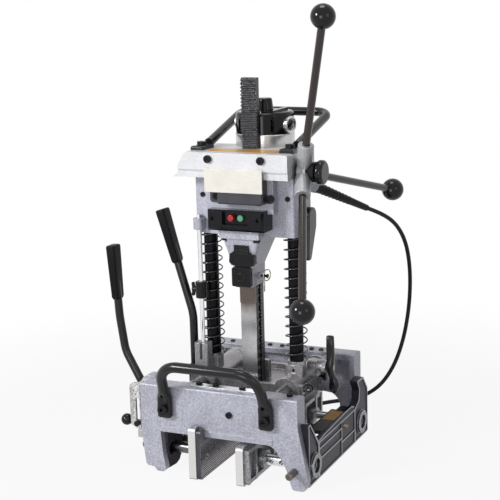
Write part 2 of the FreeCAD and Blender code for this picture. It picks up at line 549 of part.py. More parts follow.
def right_jaw():
    """Adjustable jaw: plate with cast ribs and bosses on its back."""
    x0, x1 = RIGHT_FACE, RIGHT_FACE + JAW_THICK
    plate = plate_yz(jaw_outline(JAW_TOP), (x0, x1))
    shade = [box((x1, x1 + d), (y - 3, y + 3), (JAW_BOTTOM + 3, JAW_TOP - 6))
             for y, d in ((JAW_FRONT + 7, 8), (JAW_FRONT + 33, 8), (-60, 10), (-15, 10), (30, 10), (70, 10),
                          (JAW_BACK - 28, 8), (JAW_BACK - 4, 8))]
    beam = box((x1, x1 + 7), (JAW_FRONT + 4, JAW_BACK - 4), (JAW_BOTTOM + 3, JAW_BOTTOM + 9))
    upper = box((x1, x1 + 7), (JAW_FRONT + 4, JAW_BACK - 4), (JAW_TOP - 12, JAW_TOP - 6))
    bosses = [cyl(ROD_R + 5, (x1, y, ROD_Z), (x1 + 16, y, ROD_Z)) for y in (-ROD_Y, ROD_Y)]
    rods = [cyl(ROD_R, (x0 + 4, y, ROD_Z), (x1 + 17, y, ROD_Z)) for y in (-ROD_Y, ROD_Y)]
    return cut(union([plate, beam, upper] + shade + bosses), rods)


def right_jaw_rods():
    """Two sliding rods; the front one has cross holes for the index pin."""
    x0, x1 = RIGHT_FACE + 4, SIDE_RIGHT - 4
    front = cyl(ROD_R, (x0, -ROD_Y, ROD_Z), (x1, -ROD_Y, ROD_Z))
    holes = [cyl(INDEX_HOLE_R, (PIN_X - i * INDEX_PITCH, -ROD_Y - 12, ROD_Z),
                 (PIN_X - i * INDEX_PITCH, -ROD_Y + 12, ROD_Z)) for i in range(INDEX_COUNT)]
    return Part.makeCompound([front.cut(holes), cyl(ROD_R, (x0, ROD_Y, ROD_Z), (x1, ROD_Y, ROD_Z))])


def index_pin():
    """Plunger in the right leg; pushed in, its nose enters a hole of the front rod."""
    face = -HALF_DEPTH
    nose_end = -ROD_Y - ROD_R - 1
    body = cyl(PIN_R, (PIN_X, face - PIN_PROUD, ROD_Z), (PIN_X, face + WALL_PLATE - 1, ROD_Z))
    body = body.makeChamfer(1.2, [e for e in body.Edges if e.BoundBox.YMax < face - PIN_PROUD + 0.1])
    return body.fuse(cyl(PIN_NOSE_R, (PIN_X, face + WALL_PLATE - 1, ROD_Z), (PIN_X, nose_end, ROD_Z)))


def clamp_lever():
    """Bent lever with its hub, shaft and pinion."""
    y = CLAMP_LEVER_Y
    lean = math.radians(28.8)
    knee = (CLAMP_X - 107 * math.tan(lean), 169.0)
    points = [(CLAMP_X, y, CLAMP_Z), (knee[0], y, knee[1]), (knee[0] - 8, y, 226), (knee[0] - 11, y, 283)]
    rod = swept(points, [60, 200], LEVER_R)
    hub = cyl(14.5, (CLAMP_X, y - 6, CLAMP_Z), (CLAMP_X, y + 6, CLAMP_Z))
    shaft = cyl(CLAMP_SHAFT_R, (CLAMP_X, HOUSING[0] + 4, CLAMP_Z), (CLAMP_X, CLAMP_BOSS[1] - 1, CLAMP_Z))
    teeth = gear_points(CLAMP_MODULE, CLAMP_TEETH, 0.25)
    wheel = plate_xz([(CLAMP_X + b, CLAMP_Z - a) for a, b in teeth],
                     (CLAMP_RACK_Y - CLAMP_FACE / 2, CLAMP_RACK_Y + CLAMP_FACE / 2))
    return union([rod, hub, shaft, wheel]), (points[-2], points[-1])


def grip(start, direction, length):
    """Tapered rubber grip with a rounded end, bored for its lever."""
    way = V(*direction).normalize()
    a = V(*start)
    body = Part.makeCone(GRIP_R0, GRIP_R1, length, a, way)
    body = body.makeFillet(3.0, [e for e in body.Edges if e.Closed])
    return body.cut(Part.makeCylinder(LEVER_R, length * 0.35, a, way))


CLAMP_GRIP_LENGTH, TRAVERSE_GRIP_LENGTH = 86.0, 87.0


def lever_grip(ends, length):
    """Grip that starts a third of its length before the lever's end."""
    a, b = V(*ends[0]), V(*ends[1])
    way = (b - a).normalize()
    start = b - way * (length * 0.35)
    return grip(tuple(start), tuple(way), length)


# ================================================================ traverse lever
def traverse_lever():
    """Upright lever on a pivot in the left wall, slotted round the carriage's drive pin."""
    x, y, z = TRAVERSE_X, TRAVERSE_Y, TRAVERSE_Z
    points = [(x, y, z), (x, y, 226), (x - 22.5, y, 303), (x - 32.5, y, 337)]
    rod = swept(points, [90, 300], LEVER_R)
    hub = cyl(12, (x - 6, y, z), (x + 6, y, z))
    shaft = cyl(TRAVERSE_SHAFT_R, (WALL_LEFT + 1, y, z), (x + 6, y, z))
    eye = plate_yz([(y - 12, RAIL_Z - 18, 9), (y - 12, RAIL_Z + 20, 9), (y + 12, RAIL_Z + 20, 9),
                    (y + 12, RAIL_Z - 18, 9)], (x - 5, x + 5))
    slot_r = DRIVE_PIN_R + 1.2
    slot = plate_yz([(y - slot_r, RAIL_Z - 8, slot_r - 0.05), (y - slot_r, RAIL_Z + 12, slot_r - 0.05),
                     (y + slot_r, RAIL_Z + 12, slot_r - 0.05), (y + slot_r, RAIL_Z - 8, slot_r - 0.05)],
                    (x - 8, x + 8))
    return cut(union([rod, hub, shaft, eye]), [slot]), (points[-2], points[-1])


# ================================================================ carriage
SLOT = ((-20.0, 20.0), (-47.0, -23.4))      # chain slot in the table
SEAT_TOP = 187.0
LOCK_Y, LOCK_Z, LOCK_X = 10.0, 147.0, (93.5, 118.0)
LOCK_SHAFT_R = 5.0


def carriage():
    """Two barrels on the rails, joined by a table; collars hold the posts."""
    parts = []
    for side in (-1, 1):
        x = side * RAIL_X
        parts.append(cyl(BARREL_R, (x, BARREL_FRONT, RAIL_Z), (x, BARREL_BACK, RAIL_Z)))
        for y in (BARREL_FRONT, BARREL_BACK - 5):
            parts.append(cyl(BARREL_R + 1.5, (x, y, RAIL_Z), (x, y + 5, RAIL_Z)))
        parts.append(cyl(COLLAR_R, (x, POST_Y, RAIL_Z), (x, POST_Y, COLLAR_TOP)))
        flat = box((x - COLLAR_R, x + COLLAR_R), (POST_Y - COLLAR_R - 1, POST_Y), (RAIL_Z + 8, COLLAR_TOP - 5))
        parts.append(flat.makeFillet(3, [e for e in flat.Edges if e.BoundBox.ZLength > 10]))
    table = box((-RAIL_X, RAIL_X), (-56, 50), (TABLE_Z0, TABLE_Z1))
    ribs = [box((-RAIL_X, RAIL_X), (y, y + 7), (TABLE_Z0, TABLE_Z1 + 9)) for y in (-56, 43)]
    seat = box((POLE_X - 12, POLE_X + 12), (POLE_Y - 9, POLE_Y + 10), (RAIL_Z + 10, SEAT_TOP))
    seat = seat.makeFillet(4, [e for e in seat.Edges if e.BoundBox.ZLength > 20])
    step = box((POLE_X - 12, POLE_X + 12), (POLE_Y, POST_Y - 8), (RAIL_Z + 10, COLLAR_TOP - 2))
    rack_foot = box((-RACK_HALF - 6, RACK_HALF + 6), (RACK_BACK, RACK_BACK + 9), (TABLE_Z1, TABLE_Z1 + 30))
    drive = cyl(DRIVE_PIN_R, (TRAVERSE_X - 7, TRAVERSE_Y, RAIL_Z), (-RAIL_X, TRAVERSE_Y, RAIL_Z))
    lug = box((RAIL_X + 12, 97), (-62, -52), (RAIL_Z - 4, RAIL_Z + 10))
    stub = plate_yz([(LOCK_Y - 9, RAIL_Z + 5), (LOCK_Y - 9, LOCK_Z + 9, 8), (LOCK_Y + 9, LOCK_Z + 9, 8),
                     (LOCK_Y + 9, RAIL_Z + 5)], (RAIL_X + 8, LOCK_X[0] - FREE))
    shaft = cyl(LOCK_SHAFT_R, (RAIL_X + 12, LOCK_Y, LOCK_Z), (LOCK_X[1] + 3, LOCK_Y, LOCK_Z))
    anchor = cyl(1.6, (96, SPRING_PIN_Y, HOOK_Z), (106, SPRING_PIN_Y, HOOK_Z))
    body = union(parts + [table, seat, step, rack_foot, drive, lug, stub, shaft, anchor] + ribs)
    bores = [cyl(RAIL_R + RUN, (s * RAIL_X, BARREL_FRONT - 1, RAIL_Z), (s * RAIL_X, BARREL_BACK + 1, RAIL_Z))
             for s in (-1, 1)]
    posts = [cyl(POST_R, (x, POST_Y, POST_FOOT), (x, POST_Y, COLLAR_TOP + 1)) for x in (-RAIL_X, RAIL_X)]
    pole = [cyl(POLE_R, (POLE_X, POLE_Y, POLE_FOOT), (POLE_X, POLE_Y, SEAT_TOP + 1))]
    pole += [box((POLE_X - 2.5, POLE_X + 2.5), (POLE_Y - 10, POLE_Y), (RAIL_Z + 34, SEAT_TOP + 1))]
    slots = [box(SLOT[0], SLOT[1], (TABLE_Z0 - 1, TABLE_Z1 + 10)),
             box((-RACK_HALF, RACK_HALF), (SLOT[1][1] - 1, RACK_BACK), (TABLE_Z0 + 4, TABLE_Z1 + 31))]
    holes = [cyl(2.6, (s * RAIL_X, POST_Y - COLLAR_R - 2, RAIL_Z + 24), (s * RAIL_X, POST_Y - 8, RAIL_Z + 24))
             for s in (-1, 1)]
    return cut(body, bores + posts + pole + slots + holes)


POST_FOOT, POLE_FOOT = RAIL_Z + RAIL_R + 4, 160.0
SPRING_PIN_Y = -57.0


def posts():
    out = []
    for x in (-RAIL_X, RAIL_X):
        post = cyl(POST_R, (x, POST_Y, POST_FOOT), (x, POST_Y, POST_TOP))
        out.append(post.makeChamfer(1.5, [e for e in post.Edges if e.BoundBox.ZMin > POST_TOP - 0.1]))
    return Part.makeCompound(out)


def rack():
    """Feed rack, teeth to the front."""
    root = RACK_FRONT + 2.12 * FEED_MODULE
    teeth = rack_points(FEED_MODULE, TABLE_Z1 + 40, RACK_TOP, FEED_Z, RACK_FRONT + FEED_MODULE, root, 0.2)
    teeth = [(height, along) for along, height in teeth]
    foot = TABLE_Z0 + 4
    return plate_yz([(RACK_FRONT, foot), (RACK_FRONT, TABLE_Z1 + 38), (root, TABLE_Z1 + 40)] + teeth
                    + [(root, RACK_TOP), (RACK_BACK, RACK_TOP), (RACK_BACK, foot)], (-RACK_HALF, RACK_HALF))


def depth_pole():
    pole = cyl(POLE_R, (POLE_X, POLE_Y, POLE_FOOT), (POLE_X, POLE_Y, POLE_TOP))
    return pole.makeChamfer(0.8, [e for e in pole.Edges if e.BoundBox.ZMin > POLE_TOP - 0.1])


STOP_TOP = BOSS_Z0 - HEAD_TRAVEL - 0.5
STOP_BOSS = 10.5


def depth_stop():
    """Stop collar on the pole, tapped for its wing screw."""
    z0 = STOP_TOP - COLLAR_LENGTH
    collar = cyl(STOP_R, (POLE_X, POLE_Y, z0), (POLE_X, POLE_Y, STOP_TOP))
    collar = collar.makeFillet(1.2, [e for e in collar.Edges if e.Closed])
    boss = cyl(5.0, (POLE_X, POLE_Y, z0 + 13), (POLE_X - STOP_BOSS, POLE_Y, z0 + 13))
    bore = cyl(POLE_R + RUN, (POLE_X, POLE_Y, z0 - 1), (POLE_X, POLE_Y, STOP_TOP + 1))
    tap = cyl(2.5 + RUN, (POLE_X - 14, POLE_Y, z0 + 13), (POLE_X - POLE_R, POLE_Y, z0 + 13))
    return cut(collar.fuse(boss), [bore, tap])


def wing_screw():
    """Wing screw in the stop collar; its wings stand out to the left."""
    z = STOP_TOP - COLLAR_LENGTH + 13
    x = POLE_X - STOP_BOSS - FREE
    stem = cyl(2.5, (POLE_X - POLE_R - 1, POLE_Y, z), (x - 3, POLE_Y, z))
    hub = cyl(3.8, (x - 4.5, POLE_Y, z), (x, POLE_Y, z))
    wing = plate_xz([(x - 4.5, z - 2, 0.9), (x - 6, z + 11, 2.5), (x - 0.8, z + 11, 2.4), (x, z - 2, 0.9)],
                    (POLE_Y - 1.4, POLE_Y + 1.4))
    return union([stem, hub, wing, turned(wing, (x, POLE_Y, z), (1, 0, 0), 180)])


# ================================================================ slide lock and its spring
HOOK_Y, HOOK_Z = LOCK_Y, LOCK_Z - 17.0
SPRING_X, EYE_R, LOCK_WIRE_R = 100.5, 3.6, 1.0


def lock_lever():
    """Lock lever for the slide: upper handle, hub and rounded lower end."""
    x0, x1 = LOCK_X[0], LOCK_X[1]
    hub = cyl(11.5, (x0, LOCK_Y, LOCK_Z), (x1, LOCK_Y, LOCK_Z))
    handle = box((x1 - 9, x1 + 4), (LOCK_Y - 6, LOCK_Y + 6), (LOCK_Z, LOCK_Z + 50))
    handle = handle.makeFillet(4.5, [e for e in handle.Edges if e.BoundBox.ZLength > 20])
    tail = box((x1 - 6, x1 + 6), (LOCK_Y - 7, LOCK_Y + 7), (LOCK_Z - 30, LOCK_Z))
    tail = tail.makeFillet(4, [e for e in tail.Edges if e.BoundBox.ZLength > 20])
    foot = ball(9.5, (x1 + 1, LOCK_Y, LOCK_Z - 31))
    arm = box((SPRING_X + 2, x1 - 6), (HOOK_Y - 5, HOOK_Y + 5), (HOOK_Z - 4, LOCK_Z))
    peg = cyl(1.6, (SPRING_X - 4, HOOK_Y, HOOK_Z), (SPRING_X + 3, HOOK_Y, HOOK_Z))
    bore = cyl(LOCK_SHAFT_R + RUN, (x0 - 1, LOCK_Y, LOCK_Z), (LOCK_X[1] + 3.2, LOCK_Y, LOCK_Z))
    return cut(union([hub, handle, tail, foot, arm, peg]), [bore])


def spring_coil(radius, wire_r, pitch, length, start, way):
    """Helical wire along `way` from `start`."""
    helix = Part.makeHelix(pitch, length, radius)
    profile = Part.Wire(Part.makeCircle(wire_r, V(radius, 0, 0), V(0, 1, 0)))
    coil = Part.Wire(helix).makePipeShell([profile], True, True)
    coil.Placement = FreeCAD.Placement(V(*start), FreeCAD.Rotation(V(0, 0, 1), V(*way)))
    return coil


LOCK_COIL_R, LOCK_PITCH, LOCK_END = 5.0, 2.8, 2.4      # coil radius, pitch and length of an end turn


def lock_spring():
    """Close-wound tension spring from the carriage's lug to a long hook round the lever's peg."""
    x, z, wire = SPRING_X, HOOK_Z, LOCK_WIRE_R
    start, end = SPRING_PIN_Y + EYE_R + 2.3, HOOK_Y - 16.1
    first, last = start + LOCK_END, end - LOCK_END
    count = int((last - first) / LOCK_PITCH)
    line = [(0, start), (LOCK_COIL_R + wire, start), (LOCK_COIL_R + wire, first)]
    for i in range(count):
        y = first + (last - first) * i / count
        line += [(LOCK_COIL_R, y + 0.3), (LOCK_COIL_R + wire, y + 1.0), (LOCK_COIL_R + wire, y + 2.0)]
    line += [(LOCK_COIL_R, last - 0.1), (LOCK_COIL_R + wire, last), (LOCK_COIL_R + wire, end), (0, end)]
    profile = outline(line, lambda a, b: V(x + a, b, z))
    coil = profile.revolve(V(x, 0, z), V(0, 1, 0), 360)
    eye = Part.makeTorus(EYE_R, wire, V(x, SPRING_PIN_Y, z), V(1, 0, 0))
    stem = cyl(0.9 * wire, (x, SPRING_PIN_Y + EYE_R - 0.3, z), (x, start + 1, z))
    bend = Part.makeTorus(EYE_R, wire, V(x, HOOK_Y, z), V(1, 0, 0)).common(
        box((x - 9, x + 9), (HOOK_Y, HOOK_Y + 9), (z - 9, z + 9)))
    legs = [cyl(wire, (x, end - 1, z + s * EYE_R), (x, HOOK_Y, z + s * EYE_R)) for s in (1, -1)]
    return union([coil, eye, bend, stem] + legs)


# ================================================================ head
def head_casting():
    """Crosspiece and ears on the posts, core round the feed pinion, and rear deck for the motor."""
    shoulder = EAR_OUT - 7
    frame = plate_xy([(-shoulder, EAR_FRONT, 4), (-EAR_OUT, EAR_FRONT + 20, 12), (-EAR_OUT, EAR_BACK, 4),
                      (EAR_OUT, EAR_BACK, 4), (EAR_OUT, EAR_FRONT + 20, 12), (shoulder, EAR_FRONT, 4)],
                     (EAR_BOTTOM, HOOD_BOTTOM))
    core = box((-55.5, 55.5), (EAR_FRONT - 17, EAR_BACK), (EAR_STEP, MOTOR_Z0))
    deck = box((-55.5, 55.5), (EAR_BACK, MOTOR_Y + MOTOR_R), (415, MOTOR_Z0))
    deck = deck.makeFillet(8, [e for e in deck.Edges if e.BoundBox.ZLength > 30 and e.BoundBox.YMin > MOTOR_Y])
    boss = cyl(9, (POLE_X, POLE_Y, BOSS_Z0), (POLE_X, POLE_Y, BOSS_Z1))
    web = box((POLE_X - 6, POLE_X + 9), (POLE_Y, EAR_FRONT + 4), (BOSS_Z0, BOSS_Z1))
    gland = Part.makeCylinder(GLAND_R, GLAND_DEPTH, V(*GLAND_FACE), guard_way() * -1)
    body = union([frame, core, deck, boss, web, gland])
    rack_way = box((-RACK_HALF - FREE, RACK_HALF + FREE), (RACK_FRONT - FREE, RACK_BACK + FREE),
                   (EAR_BOTTOM - 1, HOOD_TOP))
    half = PINION_HALF + 1
    cavity = cyl(FEED_RADIUS + FEED_MODULE + 1, (-half, FEED_Y, FEED_Z), (half, FEED_Y, FEED_Z))
    shaft = cyl(SHAFT_R + RUN, (-60, FEED_Y, FEED_Z), (EAR_OUT + 1, FEED_Y, FEED_Z))
    bores = [cyl(POST_BORE_R, (x, POST_Y, EAR_BOTTOM - 1), (x, POST_Y, HOOD_TOP)) for x in (-RAIL_X, RAIL_X)]
    pole = cyl(POLE_R + RUN, (POLE_X, POLE_Y, BOSS_Z0 - 1), (POLE_X, POLE_Y, BOSS_Z1 + 1))
    relief = cyl(STOP_R + 0.6, (POLE_X, POLE_Y, EAR_BOTTOM - 1), (POLE_X, POLE_Y, BOSS_Z0))
    spindle = cyl(10, (0, MOTOR_Y, 430), (0, MOTOR_Y, MOTOR_Z0 + 1))
    neck_room = cyl(7, (0, NECK_SHAFT_Y, EAR_BOTTOM - 1), (0, NECK_SHAFT_Y, EAR_STEP + 20))
    lock = cyl(5.0, (EAR_OUT - 4.3, LOCK_PIVOT_Y, LOCK_PIVOT_Z), (EAR_OUT + 1, LOCK_PIVOT_Y, LOCK_PIVOT_Z))
    taps = [cyl(s[0], s[1], s[2]) for s in head_screw_holes()]
    return cut(body, [rack_way, cavity, shaft, pole, relief, spindle, neck_room, lock] + bores + taps)


SHAFT_R, PINION_HALF = 8.0, 12.0
POST_BORE_R, BUSH_TOP = 12.4, 448.0
GLAND_FACE, GLAND_R, GLAND_DEPTH = (61.0, 90.0, 417.5), 11.0, 22.0
NECK_SHAFT_Y = -31.5
LOCK_PIVOT_Y, LOCK_PIVOT_Z = -14.0, 390.0
EAR_SCREWS = ((-69.0, 420.0), (71.5, 419.0))
COVER = ((-28.0, 46.0), (-80.0, EAR_FRONT - 17), (413.0, HOOD_BOTTOM))
COVER_SCREWS = ((-35.0, 423.0), (52.0, 421.0))
HOOD_SCREWS_X = (-43.0, 43.0)
HOOD_SCREW_Z = 479.5
HOOD_FRONT, HOOD_REAR = -76.5, 30.0
TOP_BOLT_Y = -38.0


def head_screw_holes():
    holes = [(3, (x, EAR_FRONT - 1, z), (x, EAR_FRONT + 9, z)) for x, z in EAR_SCREWS]
    holes += [(2.5, (x, COVER[1][1] - 1, z), (x, COVER[1][1] + 4, z)) for x, z in COVER_SCREWS]
    return holes


def hood_outline(shrink=0.0):
    """Front view of the hood: slanted left end with a flared skirt, straighter right end."""
    s = shrink
    low = HOOD_BOTTOM - (1 if s else 0)
    return [(-82 + s, HOOD_TOP - s, 3), (-95 + s, HOOD_BOTTOM + 17, 8), (-94 + s, HOOD_BOTTOM + 8, 3),
            (-104 + s, low), (85 - s, low), (85 - s, HOOD_TOP - s, 3)]


def hood():
    """Pressed cover over the head, open below, pierced for rack, motor and feed shaft."""
    shell = plate_xz(hood_outline(), (HOOD_FRONT, HOOD_REAR))
    hollow = plate_xz(hood_outline(HOOD_WALL), (HOOD_FRONT + HOOD_WALL, HOOD_REAR + 1))
    crease = plate_yz([(HOOD_FRONT - 1, HOOD_BOTTOM - 1), (HOOD_FRONT - 1, HOOD_BOTTOM + 12),
                       (HOOD_FRONT, HOOD_BOTTOM + 12), (HOOD_FRONT + 1.5, HOOD_BOTTOM + 9), (HOOD_FRONT + 1.5, HOOD_BOTTOM - 1)], (-110, 90))
    rack_way = box((-RACK_HALF - 1, RACK_HALF + 1), (RACK_FRONT - 1, RACK_BACK + 1),
                   (HOOD_TOP - 10, HOOD_TOP + 1))
    motor = cyl(MOTOR_R + 0.5, (0, MOTOR_Y, HOOD_TOP - 10), (0, MOTOR_Y, HOOD_TOP + 1))
    shaft = cyl(SHAFT_R + 3, (60, FEED_Y, FEED_Z), (90, FEED_Y, FEED_Z))
    front = [cyl(3, (x, HOOD_FRONT - 1, HOOD_SCREW_Z), (x, HOOD_FRONT + 9, HOOD_SCREW_Z))
             for x in HOOD_SCREWS_X]
    feet = [cyl(3.1, (x, TOP_BOLT_Y, HOOD_TOP - 6), (x, TOP_BOLT_Y, HOOD_TOP + 1)) for x in TOP_HANDLE_BOLTS]
    pads = [box((x - 5, x + 5), (HOOD_FRONT + 1, HOOD_FRONT + 14.5), (HOOD_TOP - 17, HOOD_TOP - 1))
            for x in HOOD_SCREWS_X]
    body = union([cut(shell, [hollow, crease])] + pads)
    return cut(body, [rack_way, motor, shaft] + front + feet)


TOP_HANDLE_BOLTS = (-72.0, 74.0)


def gearbox_cover():
    """Dark box in front of the feed pinion, with chamfered lower corners."""
    x, y, z = COVER
    body = plate_xz([(x[0], z[0], 3), (x[0], z[1]), (x[1], z[1]), (x[1], z[0], 5)], y)
    foot = body.makeChamfer(2, [e for e in body.Edges if e.BoundBox.XLength > 60 and e.BoundBox.ZMax < z[0] + 1
                                and e.BoundBox.YMax < y[0] + 1])
    rim = plate_xz([(-46, z[0], 5), (-46, z[1]), (x[1], z[1]), (x[1], z[0], 3)], (y[1] - 5, y[1]))
    ears = [cyl(6.5, (cx, y[1] - 5, cz), (cx, y[1], cz)) for cx, cz in COVER_SCREWS] + [rim]
    hollow = box((x[0] + 4, x[1] - 4), (y[0] + 5, y[1] + 1), (z[0] + 4, z[1] - 4))
    holes = [cyl(2.5, (cx, y[0] - 5, cz), (cx, y[1] + 1, cz)) for cx, cz in COVER_SCREWS]
    return cut(union([foot.cut(hollow)] + ears), holes)


def name_plate():
    """Blank plate over the joint of hood and cover."""
    seat = COVER[1][0] - 1.4
    plate = box((-47, 47), (seat - 1.6, seat), (HOOD_BOTTOM - 20, HOOD_BOTTOM + 15))
    plate = plate.makeFillet(1.5, [e for e in plate.Edges if e.BoundBox.YLength > 1 and e.BoundBox.XLength < 1
                                   and e.BoundBox.ZLength < 1])
    back = box((-40, 40), (seat, COVER[1][0]), (HOOD_BOTTOM - 17, HOOD_BOTTOM - 1))
    tabs = box((-40, 40), (seat, HOOD_FRONT), (HOOD_BOTTOM + 12.2, HOOD_BOTTOM + 14))
    return union([plate, back, tabs])


SWITCH = ((-46.0, 46.0), (EAR_FRONT - 35, EAR_FRONT), (EAR_BOTTOM + 12, EAR_STEP + 6))
BUTTON_R, BUTTON_DROP = 4.8, 11.5            # drop of the buttons below the box's top
BUTTON_Z = SWITCH[2][1] - BUTTON_DROP
WINDOW = ((-21.0, 21.0), (BUTTON_Z - 10.5, BUTTON_Z + 9.5))
BUTTONS = {"stop": -6.5, "start": 8.5}


def switch_box():
    """Hollow switch housing, open to the crosspiece behind, with a recessed window."""
    x, y, z = SWITCH
    shell = box(x, y, z)
    shell = shell.makeChamfer(3.5, [e for e in shell.Edges if e.BoundBox.YMax < y[0] + 0.1])
    hollow = box((x[0] + 3, x[1] - 3), (y[0] + 9, y[1] + 1), (z[0] + 3, z[1] - 4))
    window = box(WINDOW[0], (y[0] - 1, y[0] + 6), WINDOW[1])
    bores = [cyl(BUTTON_R + 0.1, (bx, y[0] - 1, BUTTON_Z), (bx, y[0] + 10, BUTTON_Z))
             for bx in BUTTONS.values()]
    screws = [cyl(3, (sx, y[0] - 1, BUTTON_Z - 2), (sx, y[0] + 4, BUTTON_Z - 2)) for sx in (-37.0, 37.0)]
    lower = box((-22, 22), (y[0] - 1, y[0] + 1.2), (z[0] + 3.5, z[0] + 7))
    over = box((x[0] - 1, x[1] + 1), (EAR_FRONT - 17, EAR_FRONT + 1), (EAR_STEP, z[1] + 1))
    return cut(shell, [hollow, window, lower, over] + bores + screws)


def push_button(x, proud):
    """Round button whose collar sits behind the floor of the window."""
    y = SWITCH[1][0]
    cap = cyl(BUTTON_R, (x, y + 6 - proud, BUTTON_Z), (x, y + 12, BUTTON_Z))
    cap = cap.makeFillet(0.9, [e for e in cap.Edges if e.BoundBox.YMax < y + 6 - proud + 0.1])
    return cap.fuse(cyl(BUTTON_R + 1.3, (x, y + 9 + FREE, BUTTON_Z), (x, y + 12, BUTTON_Z)))


def motor_housing():
    """Bright lower shell of the motor."""
    tube = cyl(MOTOR_R, (0, MOTOR_Y, MOTOR_Z0), (0, MOTOR_Y, MOTOR_Z1))
    tube = tube.makeFillet(1.5, [e for e in tube.Edges if e.Closed and e.BoundBox.ZMin > MOTOR_Z1 - 0.1])
    return cut(tube, [cyl(MOTOR_R - 4, (0, MOTOR_Y, MOTOR_Z0 + 4), (0, MOTOR_Y, MOTOR_Z1 + 1)),
                      cyl(10, (0, MOTOR_Y, MOTOR_Z0 - 1), (0, MOTOR_Y, MOTOR_Z0 + 5))])


SPINDLE_R = 5.0
BRUSH_R, BRUSH_Z, BRUSH_TURN = 13.2, 521.5, 12.0


def motor_cap():
    """Black end cap of the motor with a round bearing dome."""
    r = MOTOR_R - 0.8
    body = cyl(r, (0, MOTOR_Y, MOTOR_Z1), (0, MOTOR_Y, CAP_TOP))
    body = body.makeFillet(5, [e for e in body.Edges if e.Closed and e.BoundBox.ZMin > CAP_TOP - 0.1])
    dome = taper(14, 11.5, (0, MOTOR_Y, CAP_TOP - 1), (0, MOTOR_Y, DOME_TOP))
    dome = dome.makeFillet(3.5, [e for e in dome.Edges if e.Closed and e.BoundBox.ZMin > DOME_TOP - 0.1])
    flats = [box((x - 4, x + 4), (MOTOR_Y - r, MOTOR_Y + r), (CAP_TOP - 1, CAP_TOP + 3)) for x in (-22.8, 22.8)]
    flats = [f.common(cyl(r - 6, (0, MOTOR_Y, CAP_TOP - 2), (0, MOTOR_Y, CAP_TOP + 4))) for f in flats]
    hollow = cyl(r - 4, (0, MOTOR_Y, MOTOR_Z1 - 1), (0, MOTOR_Y, CAP_TOP - 5))
    bearing = cyl(SPINDLE_R + RUN, (0, MOTOR_Y, CAP_TOP - 6), (0, MOTOR_Y, DOME_TOP - 6))
    vent = box((r - 6, r + 1), (MOTOR_Y - 2.5, MOTOR_Y + 2.5), (MOTOR_Z1 + 5, CAP_TOP - 10))
    vents = [turned(vent, (0, MOTOR_Y, 0), (0, 0, 1), a)
             for a in (-146, -126, -106, -52, 40, 60, 80, 100, 120, 140)]
    brushes = brush_turn(cyl(BRUSH_R, (-MOTOR_R - 5, MOTOR_Y, BRUSH_Z), (MOTOR_R + 5, MOTOR_Y, BRUSH_Z)))
    return cut(union([body, dome] + flats), [hollow, bearing, brushes] + vents)


def brush_caps():
    """Bright rings with a dark slotted cap, one on each side of the motor."""
    out = []
    for s in (-1, 1):
        ring = cyl(BRUSH_R, (s * 36, MOTOR_Y, BRUSH_Z), (s * (MOTOR_R + 3.5), MOTOR_Y, BRUSH_Z))
        dish = cyl(BRUSH_R - 3, (s * (MOTOR_R + 1), MOTOR_Y, BRUSH_Z), (s * (MOTOR_R + 4), MOTOR_Y, BRUSH_Z))
        slot = box(sorted_pair(s * (MOTOR_R - 1), s * (MOTOR_R + 2)), (MOTOR_Y - 1.2, MOTOR_Y + 1.2),
                   (BRUSH_Z - 8, BRUSH_Z + 8))
        out.append(brush_turn(cut(ring, [dish, slot])))
    return Part.makeCompound(out)


def brush_turn(shape):
    """The brush line is turned a little about the motor's axis."""
    return turned(shape, (0, MOTOR_Y, 0), (0, 0, 1), -BRUSH_TURN)


def sorted_pair(a, b):
    return (min(a, b), max(a, b))


def motor_spindle():
    """Armature with its shaft, turning inside the motor."""
    shaft = cyl(SPINDLE_R, (0, MOTOR_Y, HOOD_BOTTOM - 15), (0, MOTOR_Y, DOME_TOP - 8))
    return union([shaft, cyl(MOTOR_R - 19, (0, MOTOR_Y, MOTOR_Z0 + 8), (0, MOTOR_Y, CAP_TOP - 11)),
                  cyl(9.5, (0, MOTOR_Y, MOTOR_Z0 - 16), (0, MOTOR_Y, MOTOR_Z0 - 4))])


def top_handle():
    """Tube handle that rises from two feet on the hood and passes behind the motor."""
    left, right = TOP_HANDLE_X
    z0, bar_z, bar_y = HOOD_TOP + TOP_TUBE_R, 533.0, MOTOR_Y + MOTOR_R + TOP_TUBE_R + 24
    spine = [(left, -44, z0 - 1), (left, -18, z0 + 1), (left - 4, bar_y, bar_z), (right + 1, bar_y, bar_z),
             (right, -18, z0 + 1), (right, -44, z0 - 1)]
    tube = swept(spine, [40, 24, 24, 40], TOP_TUBE_R)
    pads = []
    for x in TOP_HANDLE_BOLTS:
        pad = box((x - 11, x + 11), (-56, -16), (HOOD_TOP, HOOD_TOP + 6))
        edges = [e for e in pad.Edges if e.BoundBox.ZLength > 5 or e.BoundBox.ZMin > HOOD_TOP + 5]
        pads.append(pad.makeFillet(3, edges))
    flat = box((left - 20, right + 20), (-70, -22), (HOOD_TOP + 6, HOOD_TOP + 30))
    below = box((left - 20, right + 20), (-70, -5), (HOOD_TOP - 10, HOOD_TOP))
    holes = [cyl(3.1, (x, TOP_BOLT_Y, HOOD_TOP - 1), (x, TOP_BOLT_Y, HOOD_TOP + 7)) for x in TOP_HANDLE_BOLTS]
    return cut(union([tube.cut([flat])] + pads), [below] + holes)


